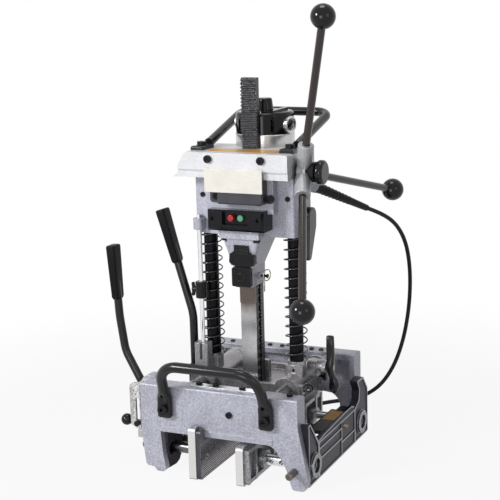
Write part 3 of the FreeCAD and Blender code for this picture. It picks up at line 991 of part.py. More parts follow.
def head_screws():
    """Screws of hood, top handle, cover, ears, switch box and neck."""
    out = [screw(6, 3.5, 3, 9, (x, HOOD_FRONT, HOOD_SCREW_Z), (0, -1, 0)) for x in HOOD_SCREWS_X]
    out += [screw(7, 5.5, 3, 8, (x, TOP_BOLT_Y, HOOD_TOP + 6), (0, 0, 1)) for x in TOP_HANDLE_BOLTS]
    out += [screw(5.5, 4, 2.5, 8, (x, COVER[1][1] - 5, z), (0, -1, 0)) for x, z in COVER_SCREWS]
    out += [screw(4, 1.5, 2.9, 8, (x, EAR_FRONT, z), (0, -1, 0)) for x, z in EAR_SCREWS]
    out += [screw(5, 4, 2.5, 9, (x, NECK_BOLT_Y, NECK_TOP), (0, 0, -1)) for x in NECK_BOLTS_X]
    return Part.makeCompound(out)


NECK_BOLTS_X, NECK_BOLT_Y = (-27.0, 25.5), -58.0


def neck():
    """Tapered gear neck under the head, ending in the sprocket block."""
    flange = box((-35, 32), (-66, 14), (NECK_TOP, SWITCH[2][0]))
    flange = flange.cut(box((-60, 60), (EAR_FRONT - 0.01, 30), (EAR_BOTTOM, 420)))
    corners = [e for e in flange.Edges if e.BoundBox.ZLength > 10 and e.BoundBox.YMin < -60]
    flange = flange.makeFillet(3, corners)
    top = outline([(-31, -62, 5), (-31, 13, 5), (31, 13, 5), (31, -62, 5)], lambda a, b: V(a, b, NECK_TOP))
    low = outline([(-17, -56, 3), (-17, -9, 3), (17, -9, 3), (17, -56, 3)],
                  lambda a, b: V(a, b, NECK_BLOCK_TOP))
    body = Part.makeLoft([top.OuterWire, low.OuterWire], True, True)
    block = plate_xy([(-17, -56, 3), (-17, -9, 3), (17, -9, 3), (17, -56, 3)], (NECK_BOTTOM, NECK_BLOCK_TOP))
    rack_way = box((-RACK_HALF - FREE, RACK_HALF + FREE), (RACK_FRONT - FREE, 20),
                   (NECK_BOTTOM - 1, EAR_BOTTOM + 1))
    chain_room = box((-CHAIN_HALF - 2, CHAIN_HALF + 2), (CHAIN_FRONT - 1, CHAIN_BACK + 1),
                     (NECK_BOTTOM - 1, NECK_BLOCK_TOP + 1))
    shaft = cyl(4 + RUN, (0, -53, SPROCKET_Z), (0, -20, SPROCKET_Z))
    drive = cyl(7, (0, NECK_SHAFT_Y, NECK_BLOCK_TOP), (0, NECK_SHAFT_Y, 400))
    pin = cyl(5, (16, -32, 296), (20, -32, 296))
    taps = [cyl(2.5, (x, NECK_BOLT_Y, NECK_TOP - 1), (x, NECK_BOLT_Y, NECK_TOP + 10)) for x in NECK_BOLTS_X]
    pads = [box((x - 6.5, x + 6.5), (-66, -50), (NECK_TOP, NECK_TOP + 9)) for x in NECK_BOLTS_X]
    trim = [cyl(5.6, (x, NECK_BOLT_Y, NECK_TOP - 6), (x, NECK_BOLT_Y, NECK_TOP)) for x in NECK_BOLTS_X]
    whole = union([flange, body, block, pin] + pads)
    return cut(whole, [rack_way, chain_room, shaft, drive] + taps + trim)


def chain_covers():
    """Square cover with a plain ring at the sprocket, a shield above it and its bracket."""
    front = -56.0
    square = box((-16, 16), (front - 6, front), (NECK_BOTTOM + 0.5, NECK_BLOCK_TOP))
    square = square.makeFillet(3, [e for e in square.Edges if e.BoundBox.YLength > 5])
    ring = cyl(7, (0, front - 7.2, SPROCKET_Z), (0, front - 5, SPROCKET_Z)).cut(
        cyl(5.4, (0, front - 8, SPROCKET_Z), (0, front - 6, SPROCKET_Z)))
    tabs = box((-13, 13), (front - 1, front + 3), (NECK_BLOCK_TOP - 1, NECK_BLOCK_TOP + 3))
    shield = plate_xz([(-15, 317, 2), (-19, 322, 2), (-18, 334, 2), (-12, 338, 2), (14, 337, 2), (23, 333, 2),
                       (23, 319, 3), (18, 316.5, 2)], (front - 8, front + 1))
    slope = plate_yz([(-66, 336), (-54, 338), (-55.2, 348), (-62.5, 348), (-63, 340)], (-11, 13))
    lug = box((-6, 6), (front - 1, front + 2), (314, 320))
    return cut(union([square, ring, tabs, shield, slope, lug]), [neck()])


def sprocket():
    """Drive sprocket of the chain on its cross shaft."""
    hub = cyl(SPROCKET_R - 0.4, (0, CHAIN_FRONT + 1, SPROCKET_Z), (0, CHAIN_BACK - 1, SPROCKET_Z))
    return hub.fuse(cyl(4.0, (0, -52, SPROCKET_Z), (0, RACK_FRONT - 1.5, SPROCKET_Z)))


CHAIN_THICK = 5.2


def stadium(radius, z_low, z_high, y):
    """Flat bar with half-round ends, about the chain's centre line."""
    return union([box((-radius, radius), y, (z_low, z_high)), cyl(radius, (0, y[0], z_low), (0, y[1], z_low)),
                  cyl(radius, (0, y[0], z_high), (0, y[1], z_high))])


def guide_bar():
    inner = CHAIN_HALF - CHAIN_THICK - 0.3
    nose = CHAIN_TIP + CHAIN_HALF
    body = union([box((-inner, inner), (CHAIN_FRONT + 2, CHAIN_BACK - 2), (nose, 285)),
                  cyl(inner, (0, CHAIN_FRONT + 2, nose), (0, CHAIN_BACK - 2, nose)),
                  box((-5.5, 5.5), (CHAIN_FRONT - 1, CHAIN_BACK - 2), (NECK_BOTTOM + 0.5, NECK_BOTTOM + 6))])
    return body


def mortise_chain():
    """Closed chain round the bar and the sprocket, with cutters on every other link."""
    nose = CHAIN_TIP + CHAIN_HALF
    y = (CHAIN_FRONT, CHAIN_BACK)
    mid = CHAIN_HALF - 1.6
    room = stadium(CHAIN_HALF - CHAIN_THICK, nose, SPROCKET_Z, (y[0] - 1, y[1] + 1))
    loop = stadium(mid, nose, SPROCKET_Z, y).cut(room)
    straight = SPROCKET_Z - nose
    count = 2 * int(straight / 13.0)
    step = straight / (count / 2)
    cutters = []
    for i in range(count // 2):
        z = nose + (i + 0.5) * step
        for s in (-1, 1):
            points = [(s * (mid - 1), z - 4), (s * CHAIN_HALF, z - 4 * s), (s * CHAIN_HALF, z - s),
                      (s * (mid - 1), z + 4)]
            if s < 0:
                points = [(-(mid - 1), z + 4), (-CHAIN_HALF, z + 4), (-CHAIN_HALF, z + 1), (-(mid - 1), z - 4)]
            cutters.append(plate_xz(points, (y[0] + 1, y[1] - 1)))
    for turn in range(5):
        angle = 180 + 180 * (turn + 0.5) / 5
        tooth = plate_xz([(mid - 1, nose - 3.2), (CHAIN_HALF, nose - 3.2), (CHAIN_HALF, nose),
                          (mid - 1, nose + 3.2)],
                         (y[0] + 1, y[1] - 1))
        cutters.append(turned(tooth, (0, 0, nose), (0, 1, 0), -angle))
    return union([loop] + cutters)


def chain_guard():
    """Front guard strip of the chain: screwed to the neck above, plain below."""
    y = (CHAIN_FRONT - 2.2, CHAIN_FRONT - 1.0)
    upper = box((-13.2, 13.2), (y[0] - 1.0, y[1]), (GUARD_SPLIT, NECK_BOTTOM))
    foot = box((-13.2, 13.2), (-54, y[1]), (NECK_BOTTOM - 2.5, NECK_BOTTOM))
    lower = box((-12.7, 12.7), y, (GUARD_BOTTOM, GUARD_SPLIT + 4))
    corners = [e for e in lower.Edges if e.BoundBox.YLength > 1 and e.BoundBox.ZMax < GUARD_BOTTOM + 1]
    lower = lower.makeFillet(4, corners)
    return union([upper, foot, lower])


def post_bushes():
    out = []
    for s in (-1, 1):
        tube = cyl(POST_BORE_R, (s * RAIL_X, POST_Y, EAR_BOTTOM), (s * RAIL_X, POST_Y, BUSH_TOP))
        out.append(tube.cut(cyl(POST_R + RUN, (s * RAIL_X, POST_Y, EAR_BOTTOM - 1),
                                (s * RAIL_X, POST_Y, BUSH_TOP + 1))))
    return Part.makeCompound(out)


def return_springs():
    """Coil springs round the posts, between the collars and the ears."""
    length = EAR_BOTTOM - COLLAR_TOP - 2 * WIRE_R - 0.1
    return Part.makeCompound([
        spring_coil(SPRING_R, WIRE_R, SPRING_PITCH, length,
                    (s * RAIL_X, POST_Y, COLLAR_TOP + WIRE_R + 0.05), (0, 0, 1))
        for s in (-1, 1)])


def head_lock():
    """Lever that clamps the head on the right post; it hangs from its pivot screw."""
    x0 = EAR_OUT + 1.5
    y, z = LOCK_PIVOT_Y, LOCK_PIVOT_Z
    arm = plate_yz([(y - 15, z + 13, 12), (y + 15, z + 13, 13), (y + 14, z - 18, 20), (y - 8, z - 66, 6),
                    (y - 20, z - 66, 5), (y - 16, z - 20, 30)], (x0, x0 + 10))
    arm = arm.makeFillet(2.2, [e for e in arm.Edges if e.BoundBox.XMin > x0 + 9.9])
    spacer = cyl(9, (EAR_OUT + FREE, y, z), (x0, y, z))
    return union([arm, spacer, cyl(5.0 - RUN, (EAR_OUT - 4, y, z), (x0 + 1, y, z))])


# ================================================================ feed handle
def spoke_way(index):
    """Unit vector of a spoke: the first is near upright, the others follow at 120 degrees."""
    lean = math.radians(SPOKE_LEANS[index])
    turn = math.radians(SPOKE_TURN + 120 * index)
    return V(math.sin(lean), -math.cos(lean) * math.sin(turn), math.cos(lean) * math.cos(turn))


def feed_centre():
    return V(HUB_X, FEED_Y, FEED_Z)


def feed_hub():
    """Three-armed hub, bored for its shaft and spokes."""
    centre = feed_centre()
    core = cyl(HUB_R, (HUB_BACK, FEED_Y, FEED_Z), (HUB_X + 10, FEED_Y, FEED_Z))
    arms = [Part.makeCylinder(ARM_R, ARM_LENGTH, centre, spoke_way(i)) for i in range(3)]
    arms = [a.makeFillet(1.5, [e for e in a.Edges if e.Closed and
                               (e.CenterOfMass - centre).Length > ARM_LENGTH - 1]) for a in arms]
    bores = [Part.makeCylinder(SPOKE_R, ARM_LENGTH - 18, centre + spoke_way(i) * 20, spoke_way(i))
             for i in range(3)]
    shaft = cyl(SHAFT_R, (HUB_X - 12, FEED_Y, FEED_Z), (HUB_X + 14, FEED_Y, FEED_Z))
    back = box((0, HUB_BACK), (FEED_Y - 99, FEED_Y + 99), (FEED_Z - 99, FEED_Z + 99))
    return cut(union([core] + arms), bores + [shaft, back])


def feed_spokes():
    centre = feed_centre()
    length = SPOKE_LENGTH - BALL_R - 16
    return Part.makeCompound([Part.makeCylinder(SPOKE_R, length, centre + spoke_way(i) * 20, spoke_way(i))
                              for i in range(3)])


def feed_knobs():
    """Ball knobs on the spokes, spool knob on the hub and dial ring behind it."""
    centre = feed_centre()
    out = []
    for i in range(3):
        at = centre + spoke_way(i) * SPOKE_LENGTH
        bore = Part.makeCylinder(SPOKE_R, BALL_R, at - spoke_way(i) * (BALL_R + 6), spoke_way(i))
        inner = centre + spoke_way(i) * (SPOKE_LENGTH - 3 * BALL_R + 4)
        stop = Part.makeCylinder(SPOKE_R, 2 * BALL_R, inner, spoke_way(i))
        out.append(Part.makeSphere(BALL_R, at).cut([bore.common(stop), stop]))
    x = HUB_X + 10
    y, z = FEED_Y, FEED_Z
    disc = cyl(18.5, (x + 14, y, z), (x + 26, y, z))
    disc = disc.makeFillet(4.5, [e for e in disc.Edges if e.BoundBox.XLength < 0.1])
    spool = union([cyl(12, (x, y, z), (x + 8, y, z)), cyl(15.5, (x + 7, y, z), (x + 12, y, z)),
                   cyl(10.5, (x + 11, y, z), (x + 15, y, z)), disc])
    out.append(cut(spool, [cyl(SHAFT_R, (x - 1, y, z), (x + 4, y, z)), feed_hub()]))
    dial = cyl(19, (HUB_BACK - DIAL_THICK, y, z), (HUB_BACK, y, z))
    out.append(cut(dial, [cyl(SHAFT_R, (HUB_BACK - 5, y, z), (HUB_BACK + 1, y, z))]))
    return Part.makeCompound(out)


def feed_pinion():
    """Pinion and shaft in one piece."""
    teeth = gear_points(FEED_MODULE, FEED_TEETH, 0.2)
    wheel = plate_yz([(FEED_Y + a, FEED_Z + b) for a, b in teeth], (-PINION_HALF, PINION_HALF))
    return wheel.fuse(cyl(SHAFT_R, (-58, FEED_Y, FEED_Z), (HUB_X + 14, FEED_Y, FEED_Z)))


# ================================================================ cord
GUARD_TIP = (115.0, 185.0, 369.0)
CORD_POINTS = [
    GUARD_TIP, (132.0, 216.0, 355.0), (147.0, 246.0, 332.0), (156.0, 268.0, 298.0), (159.0, 281.0, 254.0),
    (157.0, 289.0, 205.0), (151.0, 293.0, 156.0), (141.0, 293.5, 109.0), (126.0, 290.0, 66.0),
    (104.0, 282.0, 31.0), (74.0, 270.0, 11.0), (47.0, 259.5, 6.0), (22.5, 243.5, 4.5), (9.4, 227.9, 4.4)]
COIL_CENTRE = (-49.0, 240.0)


def guard_way():
    return (V(*GUARD_TIP) - V(*GLAND_FACE)).normalize()


def cord_guard():
    """Tapered rubber sleeve from the gland."""
    a, b, way = V(*GLAND_FACE), V(*GUARD_TIP), guard_way()
    cone = Part.makeCone(8.5, 5.2, (b - a).Length, a, way)
    collar = Part.makeCylinder(10.0, 5, a, way)
    rings = [Part.makeTorus(7.9 - 0.24 * i, 0.9, a + way * (12 + 8 * i), way) for i in range(9)]
    bore = Part.makeCylinder(CORD_R, 12, b - way * 12, way)
    return cut(union([cone, collar] + rings), [bore])


def cord_radii():
    """Each arc is as large as its two runs allow: 0.45 of the shorter run over tan(half the turn)."""
    points = [V(*p) for p in CORD_POINTS]
    radii = []
    for a, b, c in zip(points, points[1:], points[2:]):
        turn = (b - a).getAngle(c - b)
        radii.append(0.45 * min((b - a).Length, (c - b).Length) / math.tan(turn / 2))
    return radii


def cord():
    """Free part of the mains cord, from the guard to the coil on the floor."""
    return swept(CORD_POINTS, cord_radii(), CORD_R)


PLUG_X = COIL_CENTRE[0] - COIL_R - COIL_TURNS_WIDE * CORD_R - 5
PLUG_Y = COIL_CENTRE[1] - COIL_R - (COIL_TURNS_WIDE - 1) * CORD_R
PLUG_Z = 9.0


def cord_coil():
    """Outer shape of the coiled rest of the cord on the floor, and its end that comes down to the plug."""
    x, y = COIL_CENTRE
    half_w, height = COIL_TURNS_WIDE * CORD_R, 2 * COIL_TURNS_HIGH * CORD_R * 0.9
    outer = cyl(COIL_R + half_w, (x, y, 0.8), (x, y, 0.8 + height))
    inner = cyl(COIL_R - half_w, (x, y, 0), (x, y, 1.8 + height))
    tail = swept([(x - 8, PLUG_Y, height - CORD_R), (PLUG_X + 12, PLUG_Y, PLUG_Z), (PLUG_X, PLUG_Y, PLUG_Z)],
                 [10 * CORD_R], CORD_R)
    return union([outer.cut(inner), tail])


def cord_plug():
    """Two-pin plug at the end of the cord."""
    x, y, z = PLUG_X, PLUG_Y, PLUG_Z
    back = x - 38
    body = plate_xy([(x - 6, y - 8, 5), (x - 6, y + 8, 5), (back, y + 13, 5), (back, y - 13, 5)], (1, 17))
    neck = cyl(5, (x, y, z), (x - 8, y, z))
    pins = [box((back - 18, back + 1), (y + s * 6.5 - 3, y + s * 6.5 + 3), (z - 1, z + 0.6)) for s in (-1, 1)]
    return union([body, neck] + pins)


# ================================================================ output
def build():
    lever, lever_end = clamp_lever()
    upright, upright_end = traverse_lever()
    return {
        "front_wall": front_wall(), "rear_wall": rear_wall(), "right_side_wall": right_side_wall(),
        "left_side_wall": left_side_wall(), "rod_bushes": rod_bushes(), "guide_rails": guide_rails(),
        "front_handle": front_handle(), "base_screws": base_screws(), "wear_strip": wear_strip(),
        "guide_plate": guide_plate(), "release_knob": release_knob(),
        "left_jaw": left_jaw(), "grip_plate": grip_plate(),
        "left_jaw_rods": left_jaw_rods(), "jaw_rack": jaw_rack(),
        "right_jaw": right_jaw(), "right_jaw_rods": right_jaw_rods(), "index_pin": index_pin(),
        "clamp_lever": lever, "clamp_grip": lever_grip(lever_end, CLAMP_GRIP_LENGTH),
        "traverse_lever": upright, "traverse_grip": lever_grip(upright_end, TRAVERSE_GRIP_LENGTH),
        "carriage": carriage(), "posts": posts(), "rack": rack(), "depth_pole": depth_pole(),
        "depth_stop": depth_stop(), "wing_screw": wing_screw(),
        "lock_lever": lock_lever(), "lock_spring": lock_spring(),
        "head_casting": head_casting(), "hood": hood(), "gearbox_cover": gearbox_cover(),
        "name_plate": name_plate(), "switch_box": switch_box(),
        "stop_button": push_button(BUTTONS["stop"], 7.5), "start_button": push_button(BUTTONS["start"], 5.5),
        "motor_housing": motor_housing(), "motor_cap": motor_cap(), "brush_caps": brush_caps(),
        "motor_spindle": motor_spindle(), "top_handle": top_handle(), "head_screws": head_screws(),
        "neck": neck(), "chain_covers": chain_covers(), "sprocket": sprocket(), "guide_bar": guide_bar(),
        "mortise_chain": mortise_chain(), "chain_guard": chain_guard(), "post_bushes": post_bushes(),
        "return_springs": return_springs(), "head_lock": head_lock(),
        "feed_hub": feed_hub(), "feed_spokes": feed_spokes(), "feed_knobs": feed_knobs(),
        "feed_pinion": feed_pinion(), "cord_guard": cord_guard(),
        "cord": cord(), "cord_coil": cord_coil(), "cord_plug": cord_plug()}


def main():
    os.makedirs("parts", exist_ok=True)
    print("cord radii", [round(r, 1) for r in cord_radii()])
    for name, shape in build().items():
        shape.exportStep(f"parts/{name}.step")


main()
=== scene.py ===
"""Dressed model of a portable chain mortiser: finishes, detailed pieces, cord, floor, lights and camera."""

import json
import logging
import math
from dataclasses import dataclass, replace
from enum import Enum
from typing import Any, Sequence

import bmesh
import bpy
from mathutils import Matrix, Vector


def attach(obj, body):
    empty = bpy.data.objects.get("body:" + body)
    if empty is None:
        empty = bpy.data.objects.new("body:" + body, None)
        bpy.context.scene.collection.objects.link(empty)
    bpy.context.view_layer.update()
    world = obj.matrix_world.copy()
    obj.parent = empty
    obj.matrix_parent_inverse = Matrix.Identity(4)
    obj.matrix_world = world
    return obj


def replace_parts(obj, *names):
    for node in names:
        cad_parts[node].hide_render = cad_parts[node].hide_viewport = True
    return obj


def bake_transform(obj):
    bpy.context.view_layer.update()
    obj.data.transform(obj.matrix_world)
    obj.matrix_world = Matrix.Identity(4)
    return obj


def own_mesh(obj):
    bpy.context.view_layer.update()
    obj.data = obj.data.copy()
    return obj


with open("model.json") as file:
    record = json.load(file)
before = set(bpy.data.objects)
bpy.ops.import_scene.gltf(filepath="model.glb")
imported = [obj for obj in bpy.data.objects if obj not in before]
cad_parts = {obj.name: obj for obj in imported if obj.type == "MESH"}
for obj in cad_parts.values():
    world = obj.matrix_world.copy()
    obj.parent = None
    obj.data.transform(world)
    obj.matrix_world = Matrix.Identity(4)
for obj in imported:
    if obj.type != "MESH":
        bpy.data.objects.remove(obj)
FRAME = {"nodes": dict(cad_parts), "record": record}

LOG = logging.getLogger("mortiser")
MM = 0.001
Colour = tuple[float, float, float]
Place = tuple[float, float, float]
Spot = tuple[float, float]
Profile = tuple[Spot, ...]
Rows = tuple[tuple[float, ...], ...]
ACROSS: Place = (1, 0, 0)


# -------- shader building
class Value:
    """A socket with arithmetic: an expression on it adds the Math nodes it needs."""

    def __init__(self, shader: "Shader", socket: bpy.types.NodeSocket) -> None:
        """Wraps one output socket of a shader."""
        self.shader = shader
        self.socket = socket

    def _math(self, operation: str, *terms: Any) -> "Value":
        """Adds one Math node and returns its result."""
        return self.shader.node("Math", {"operation": operation}, dict(enumerate(terms)))

    def __add__(self, other: Any) -> "Value":
        """Sum of two values."""
        return self._math("ADD", self, other)

    __radd__ = __add__

    def __mul__(self, other: Any) -> "Value":
        """Product of two values."""
        return self._math("MULTIPLY", self, other)

    __rmul__ = __mul__

    def __sub__(self, other: Any) -> "Value":
        """Difference of two values."""
        return self._math("SUBTRACT", self, other)

    def __rsub__(self, other: Any) -> "Value":
        """Difference with the plain number first."""
        return self._math("SUBTRACT", other, self)

    def __gt__(self, other: Any) -> "Value":
        """One where this is greater, else nothing."""
        return self._math("GREATER_THAN", self, other)

    def cycle(self) -> "Value":
        """Part after the decimal point."""
        return self._math("FRACT", self)

    def fade(self, start: float, end: float) -> "Value":
        """Rises smoothly from nothing at start to one at end."""
        smooth = {"interpolation_type": "SMOOTHSTEP"}
        return self.shader.node("MapRange", smooth, {0: self, 1: start, 2: end})


class Shader:
    """A node tree, built node by node."""

    def __init__(self, tree: bpy.types.NodeTree) -> None:
        """Works on an existing tree."""
        self.tree = tree

    def node(self, kind: str, settings: dict[str, Any] | None = None,
             sockets: dict[int | str, Any] | None = None, out: int | str = 0) -> Value:
        """Adds a node of any type.

        Args:
            kind: Type of the node, without its common prefix.
            settings: Properties that are set first.
            sockets: Values or links of its input sockets, by index or name.
            out: Output socket that the result stands for.

        Returns:
            The chosen output as a value.
        """
        made = self.tree.nodes.new("ShaderNode" + kind)
        for key, setting in (settings or {}).items():
            setattr(made, key, setting)
        for key, value in (sockets or {}).items():
            self.feed(made.inputs[key], value)
        return Value(self, made.outputs[out])

    def feed(self, socket: bpy.types.NodeSocket, value: Any) -> None:
        """Links a value to a socket, or sets it.

        Args:
            socket: Input socket.
            value: A value of the tree, a colour or a number.
        """
        if isinstance(value, Value):
            self.tree.links.new(value.socket, socket)
        elif isinstance(value, tuple) and socket.type == "RGBA":
            socket.default_value = (*value, 1.0)
        else:
            socket.default_value = value

    def place(self) -> Value:
        """Place on the piece, in the frame's metres."""
        return self.node("TexCoord", out="Object")

    def along(self, axis: int) -> Value:
        """Place along one axis."""
        return self.node("SeparateXYZ", None, {0: self.place()}, axis)

    def facing(self, axis: int) -> Value:
        """Share of an axis in the direction that the face looks in."""
        return self.node("SeparateXYZ", None, {0: self.node("NewGeometry", out="True Normal")}, axis)

    def mix(self, share: Any, first: Any, second: Any) -> Value:
        """Colour between two colours."""
        return self.node("Mix", {"data_type": "RGBA"}, {0: share, 6: first, 7: second}, 2)

    def noise(self, scale: float, detail: float, stretch: Place = (1, 1, 1), rough: float = 0.5) -> Value:
        """Noise over the piece; stretch multiplies its fineness along each axis."""
        at = self.node("VectorMath", {"operation": "MULTIPLY"}, {0: self.place(), 1: stretch})
        return self.node("TexNoise", None, dict(Vector=at, Scale=scale, Detail=detail, Roughness=rough))

    def cells(self, scale: float) -> Value:
        """Rounded cells over the piece."""
        return self.node("TexVoronoi", {"feature": "SMOOTH_F1"}, {"Vector": self.place(), "Scale": scale})

    def eased(self, radius: float) -> Value:
        """Normal with edges rounded to a radius."""
        return self.node("Bevel", {"samples": 4}, {"Radius": radius})

    def edges(self, radius: float) -> Value:
        """Mask that is one along edges and nothing elsewhere."""
        both = {0: self.eased(radius), 1: self.node("NewGeometry", out="Normal")}
        return (1.0 - self.node("VectorMath", {"operation": "DOT_PRODUCT"}, both, "Value")).fade(0.01, 0.12)

    def bump(self, height: Value, depth: float, normal: Value) -> Value:
        """Normal of a height field of that depth in metres, over another normal."""
        return self.node("Bump", None, {"Height": height, "Distance": depth, "Normal": normal})


class Surface(Shader):
    """A new material's tree, with its Principled surface."""

    def __init__(self, name: str) -> None:
        """Makes the material.

        Args:
            name: Name of the material.
        """
        self.material = bpy.data.materials.new(name)
        self.material.use_nodes = True
        super().__init__(self.material.node_tree)
        self.principled = self.tree.nodes["Principled BSDF"]
        self.end = self.tree.nodes["Material Output"]

    def set(self, name: str, value: Any) -> None:
        """Feeds one socket of the Principled surface."""
        self.feed(self.principled.inputs[name], value)


# -------- finishes
@dataclass(frozen=True)
class Relief:
    """Height field: its depth in metres, and the noise and the cells that it is made of."""

    depth: float
    noise: float
    detail: float
    rough: float = 0.5
    noise_share: float = 1.0
    cells: float = 0.0
    cells_share: float = 0.0
    stretch: Place = (1, 1, 1)

    def height(self, shader: Shader) -> Value:
        """Height field in a shader, in shares of the depth."""
        field = shader.noise(self.noise, self.detail, self.stretch, self.rough) * self.noise_share
        return shader.cells(self.cells) * self.cells_share + field if self.cells else field


class Grain(Enum):
    """Small shape of a surface, with its height field."""

    SMOOTH = Relief(0.000012, 160, 1)
    HAMMERED = Relief(0.00036, 1100, 4, 0.7, 0.6, cells=420, cells_share=0.6)
    CAST = Relief(0.00022, 700, 5, cells=900, cells_share=0.4)
    WRINKLED = Relief(0.00016, 1500, 3, cells=1400, cells_share=0.5)
    BRUSHED_X = Relief(0.00003, 2600, 3, stretch=(0.04, 1, 1))
    BRUSHED_Y = Relief(0.00003, 2600, 3, stretch=(1, 0.04, 1))
    BRUSHED_Z = Relief(0.00003, 2600, 3, stretch=(1, 1, 0.04))
    MATT = Relief(0.00008, 2600, 2)


SPECKLED = (Grain.HAMMERED, Grain.CAST)
BRUSHED = (Grain.BRUSHED_X, Grain.BRUSHED_Y, Grain.BRUSHED_Z)
OWN_NAME = "_finish"  # ends the names of the materials made here
COAT_ROUGHNESS = 0.08
CLOUD, SPECK, SCUFF, LINING = 28, 420, 240, 900  # fineness of the tone's noises
CLOUD_ROUGHNESS = 0.14  # spread of the roughness over the clouds
# pits and glints: where their fade ends, strength per mottle, tone and palest tone
SPECKS = ((0.3, 6.0, 0.45, 1.0), (0.7, 5.4, 1.8, 0.9))
STROKE_TONE, STROKE_SHARE = 0.7, 0.25  # strokes of a brushed surface
LINING_TONE, LINING_SHARE = 0.7, 0.3  # lines in a zone
LOOKS_ALONG = 0.9  # least share of the normal along an axis that a face looks along


def shaded(colour: Colour, factor: float, most: float = 1.0) -> Colour:
    """Colour made darker or lighter, up to a limit."""
    return tuple(min(most, c * factor) for c in colour)


@dataclass(frozen=True)
class Finish:
    """One finish: its colour, how it wears and the small shape of its surface.

    The mottle is the tone's spread about the colour, and worn is the colour of the worn edges, if they wear.
    The width of those edges and the radius that edges are eased to are in metres.
    """

    name: str
    colour: Colour
    roughness: float
    grain: Grain = Grain.SMOOTH
    mottle: float = 0.15
    metallic: float = 0.0
    coat: float = 0.0
    specular: float = 0.5
    worn: Colour | None = None
    wear_width: float = 0.0009
    easing: float = 0.0005

    def material(self) -> bpy.types.Material:
        """Builds the material once.

        Returns:
            The material of this finish.
        """
        title = self.name + OWN_NAME
        known = bpy.data.materials.get(title)
        if known:
            return known
        shader = Surface(title)
        shader.set("Coat Roughness", COAT_ROUGHNESS)
        shader.set("Coat Weight", self.coat)
        shader.set("Specular IOR Level", self.specular)
        shader.set("Metallic", self.metallic)
        height = self.grain.value.height(shader)
        base, rough = self.tone(shader, height)
        shader.set("Base Color", base)
        shader.set("Roughness", rough)
        shader.set("Normal", shader.bump(height, self.grain.value.depth, shader.eased(self.easing)))
        return shader.material

    def tone(self, shader: Surface, height: Value) -> tuple[Any, Any]:
        """Colour and roughness over the surface.

        Args:
            shader: Tree that takes the nodes.
            height: Height field of the grain.

        Returns:
            The base colour and the roughness.
        """
        cloud = shader.noise(CLOUD, 4, rough=0.6)
        base = shader.mix(cloud.fade(0.3, 0.7), shaded(self.colour, 1 - self.mottle),
                          shaded(self.colour, 1 + self.mottle))
        if self.grain in SPECKLED:
            speck = shader.noise(SPECK, 3, rough=0.65)
            for end, share, tone, most in SPECKS:
                mask = speck.fade(0.5, end) * (share * self.mottle)
                base = shader.mix(mask, base, shaded(self.colour, tone, most))
        if self.grain in BRUSHED:
            base = shader.mix(height.fade(0.35, 0.65) * STROKE_SHARE, base, shaded(self.colour, STROKE_TONE))
        if self.worn:
            edge = shader.edges(self.wear_width) * shader.noise(SCUFF, 4).fade(0.38, 0.6)
            base = shader.mix(edge, base, self.worn)
        return base, cloud * CLOUD_ROUGHNESS + (self.roughness - CLOUD_ROUGHNESS / 2)


@dataclass(frozen=True)
class ZonedFinish(Finish):
    """A finish with a second colour and roughness inside a zone of the piece."""

    zone_colour: Colour = (0.6, 0.6, 0.6)
    zone_roughness: float = 0.3
    zone_metallic: float = 1.0

    def zone(self, shader: Surface) -> Value:
        """Mask of the zone."""
        raise NotImplementedError

    def tone(self, shader: Surface, height: Value) -> tuple[Any, Any]:
        """Colour and roughness over the surface, with the zone's laid over them.

        Args:
            shader: Tree that takes the nodes.
            height: Height field of the grain.

        Returns:
            The base colour and the roughness.
        """
        base, rough = super().tone(shader, height)
        mask = self.zone(shader)
        lined = shader.mix(shader.noise(LINING, 3).fade(0.3, 0.7) * LINING_SHARE, self.zone_colour,
                           shaded(self.zone_colour, LINING_TONE))
        if self.zone_metallic != self.metallic:
            shader.set("Metallic", mask * (self.zone_metallic - self.metallic) + self.metallic)
        return shader.mix(mask, base, lined), mask * (self.zone_roughness - self.roughness) + rough


@dataclass(frozen=True)
class PanelFinish(ZonedFinish):
    """Dark painted panel whose outer lands are machined bright."""

    land_x: float = 131.6

    def zone(self, shader: Surface) -> Value:
        """The outermost face."""
        return shader.along(0) > self.land_x * MM


@dataclass(frozen=True)
class TintedFinish(ZonedFinish):
    """Bright steel with a brown heat tint that fades in between two heights, with a ragged limit."""

    tint_from: float = 225.0
    tint_to: float = 262.0
    ragged: float = 20.0

    def zone(self, shader: Surface) -> Value:
        """Fades in with height."""
        ragged = (shader.noise(60, 3) - 0.5) * (self.ragged * MM)
        return (ragged + shader.along(2)).fade(self.tint_from * MM, self.tint_to * MM)


@dataclass(frozen=True)
class MilledFinish(ZonedFinish):
    """Surface whose outermost faces on one side look different."""

    axis_index: int = 0
    side: float = 1.0
    beyond: float = 0.0

    def zone(self, shader: Surface) -> Value:
        """Faces that look along the axis and lie beyond a place on it."""
        outer = shader.along(self.axis_index) * self.side > self.beyond * MM
        return (shader.facing(self.axis_index) * self.side > LOOKS_ALONG) * outer


@dataclass(frozen=True)
class RidgeHighlightFinish(ZonedFinish):
    """Dark plate whose fine level ridges carry a painted highlight: a bright band on top of each."""

    pitch: float = 3.0
    crest: float = 0.7

    def zone(self, shader: Surface) -> Value:
        """Painted highlight on the crests of the ridges, on the broad face only."""
        broad = shader.facing(0) > LOOKS_ALONG
        return ((shader.along(2) * (1 / (self.pitch * MM))).cycle() > self.crest) * broad


SILVER: Colour = (0.43, 0.435, 0.51)
INK: Colour = (0.006, 0.006, 0.008)
WORN_PALE: Colour = (0.8, 0.8, 0.8)
WORN_GREY: Colour = (0.7, 0.7, 0.72)
WORN_DARK: Colour = (0.5, 0.5, 0.52)

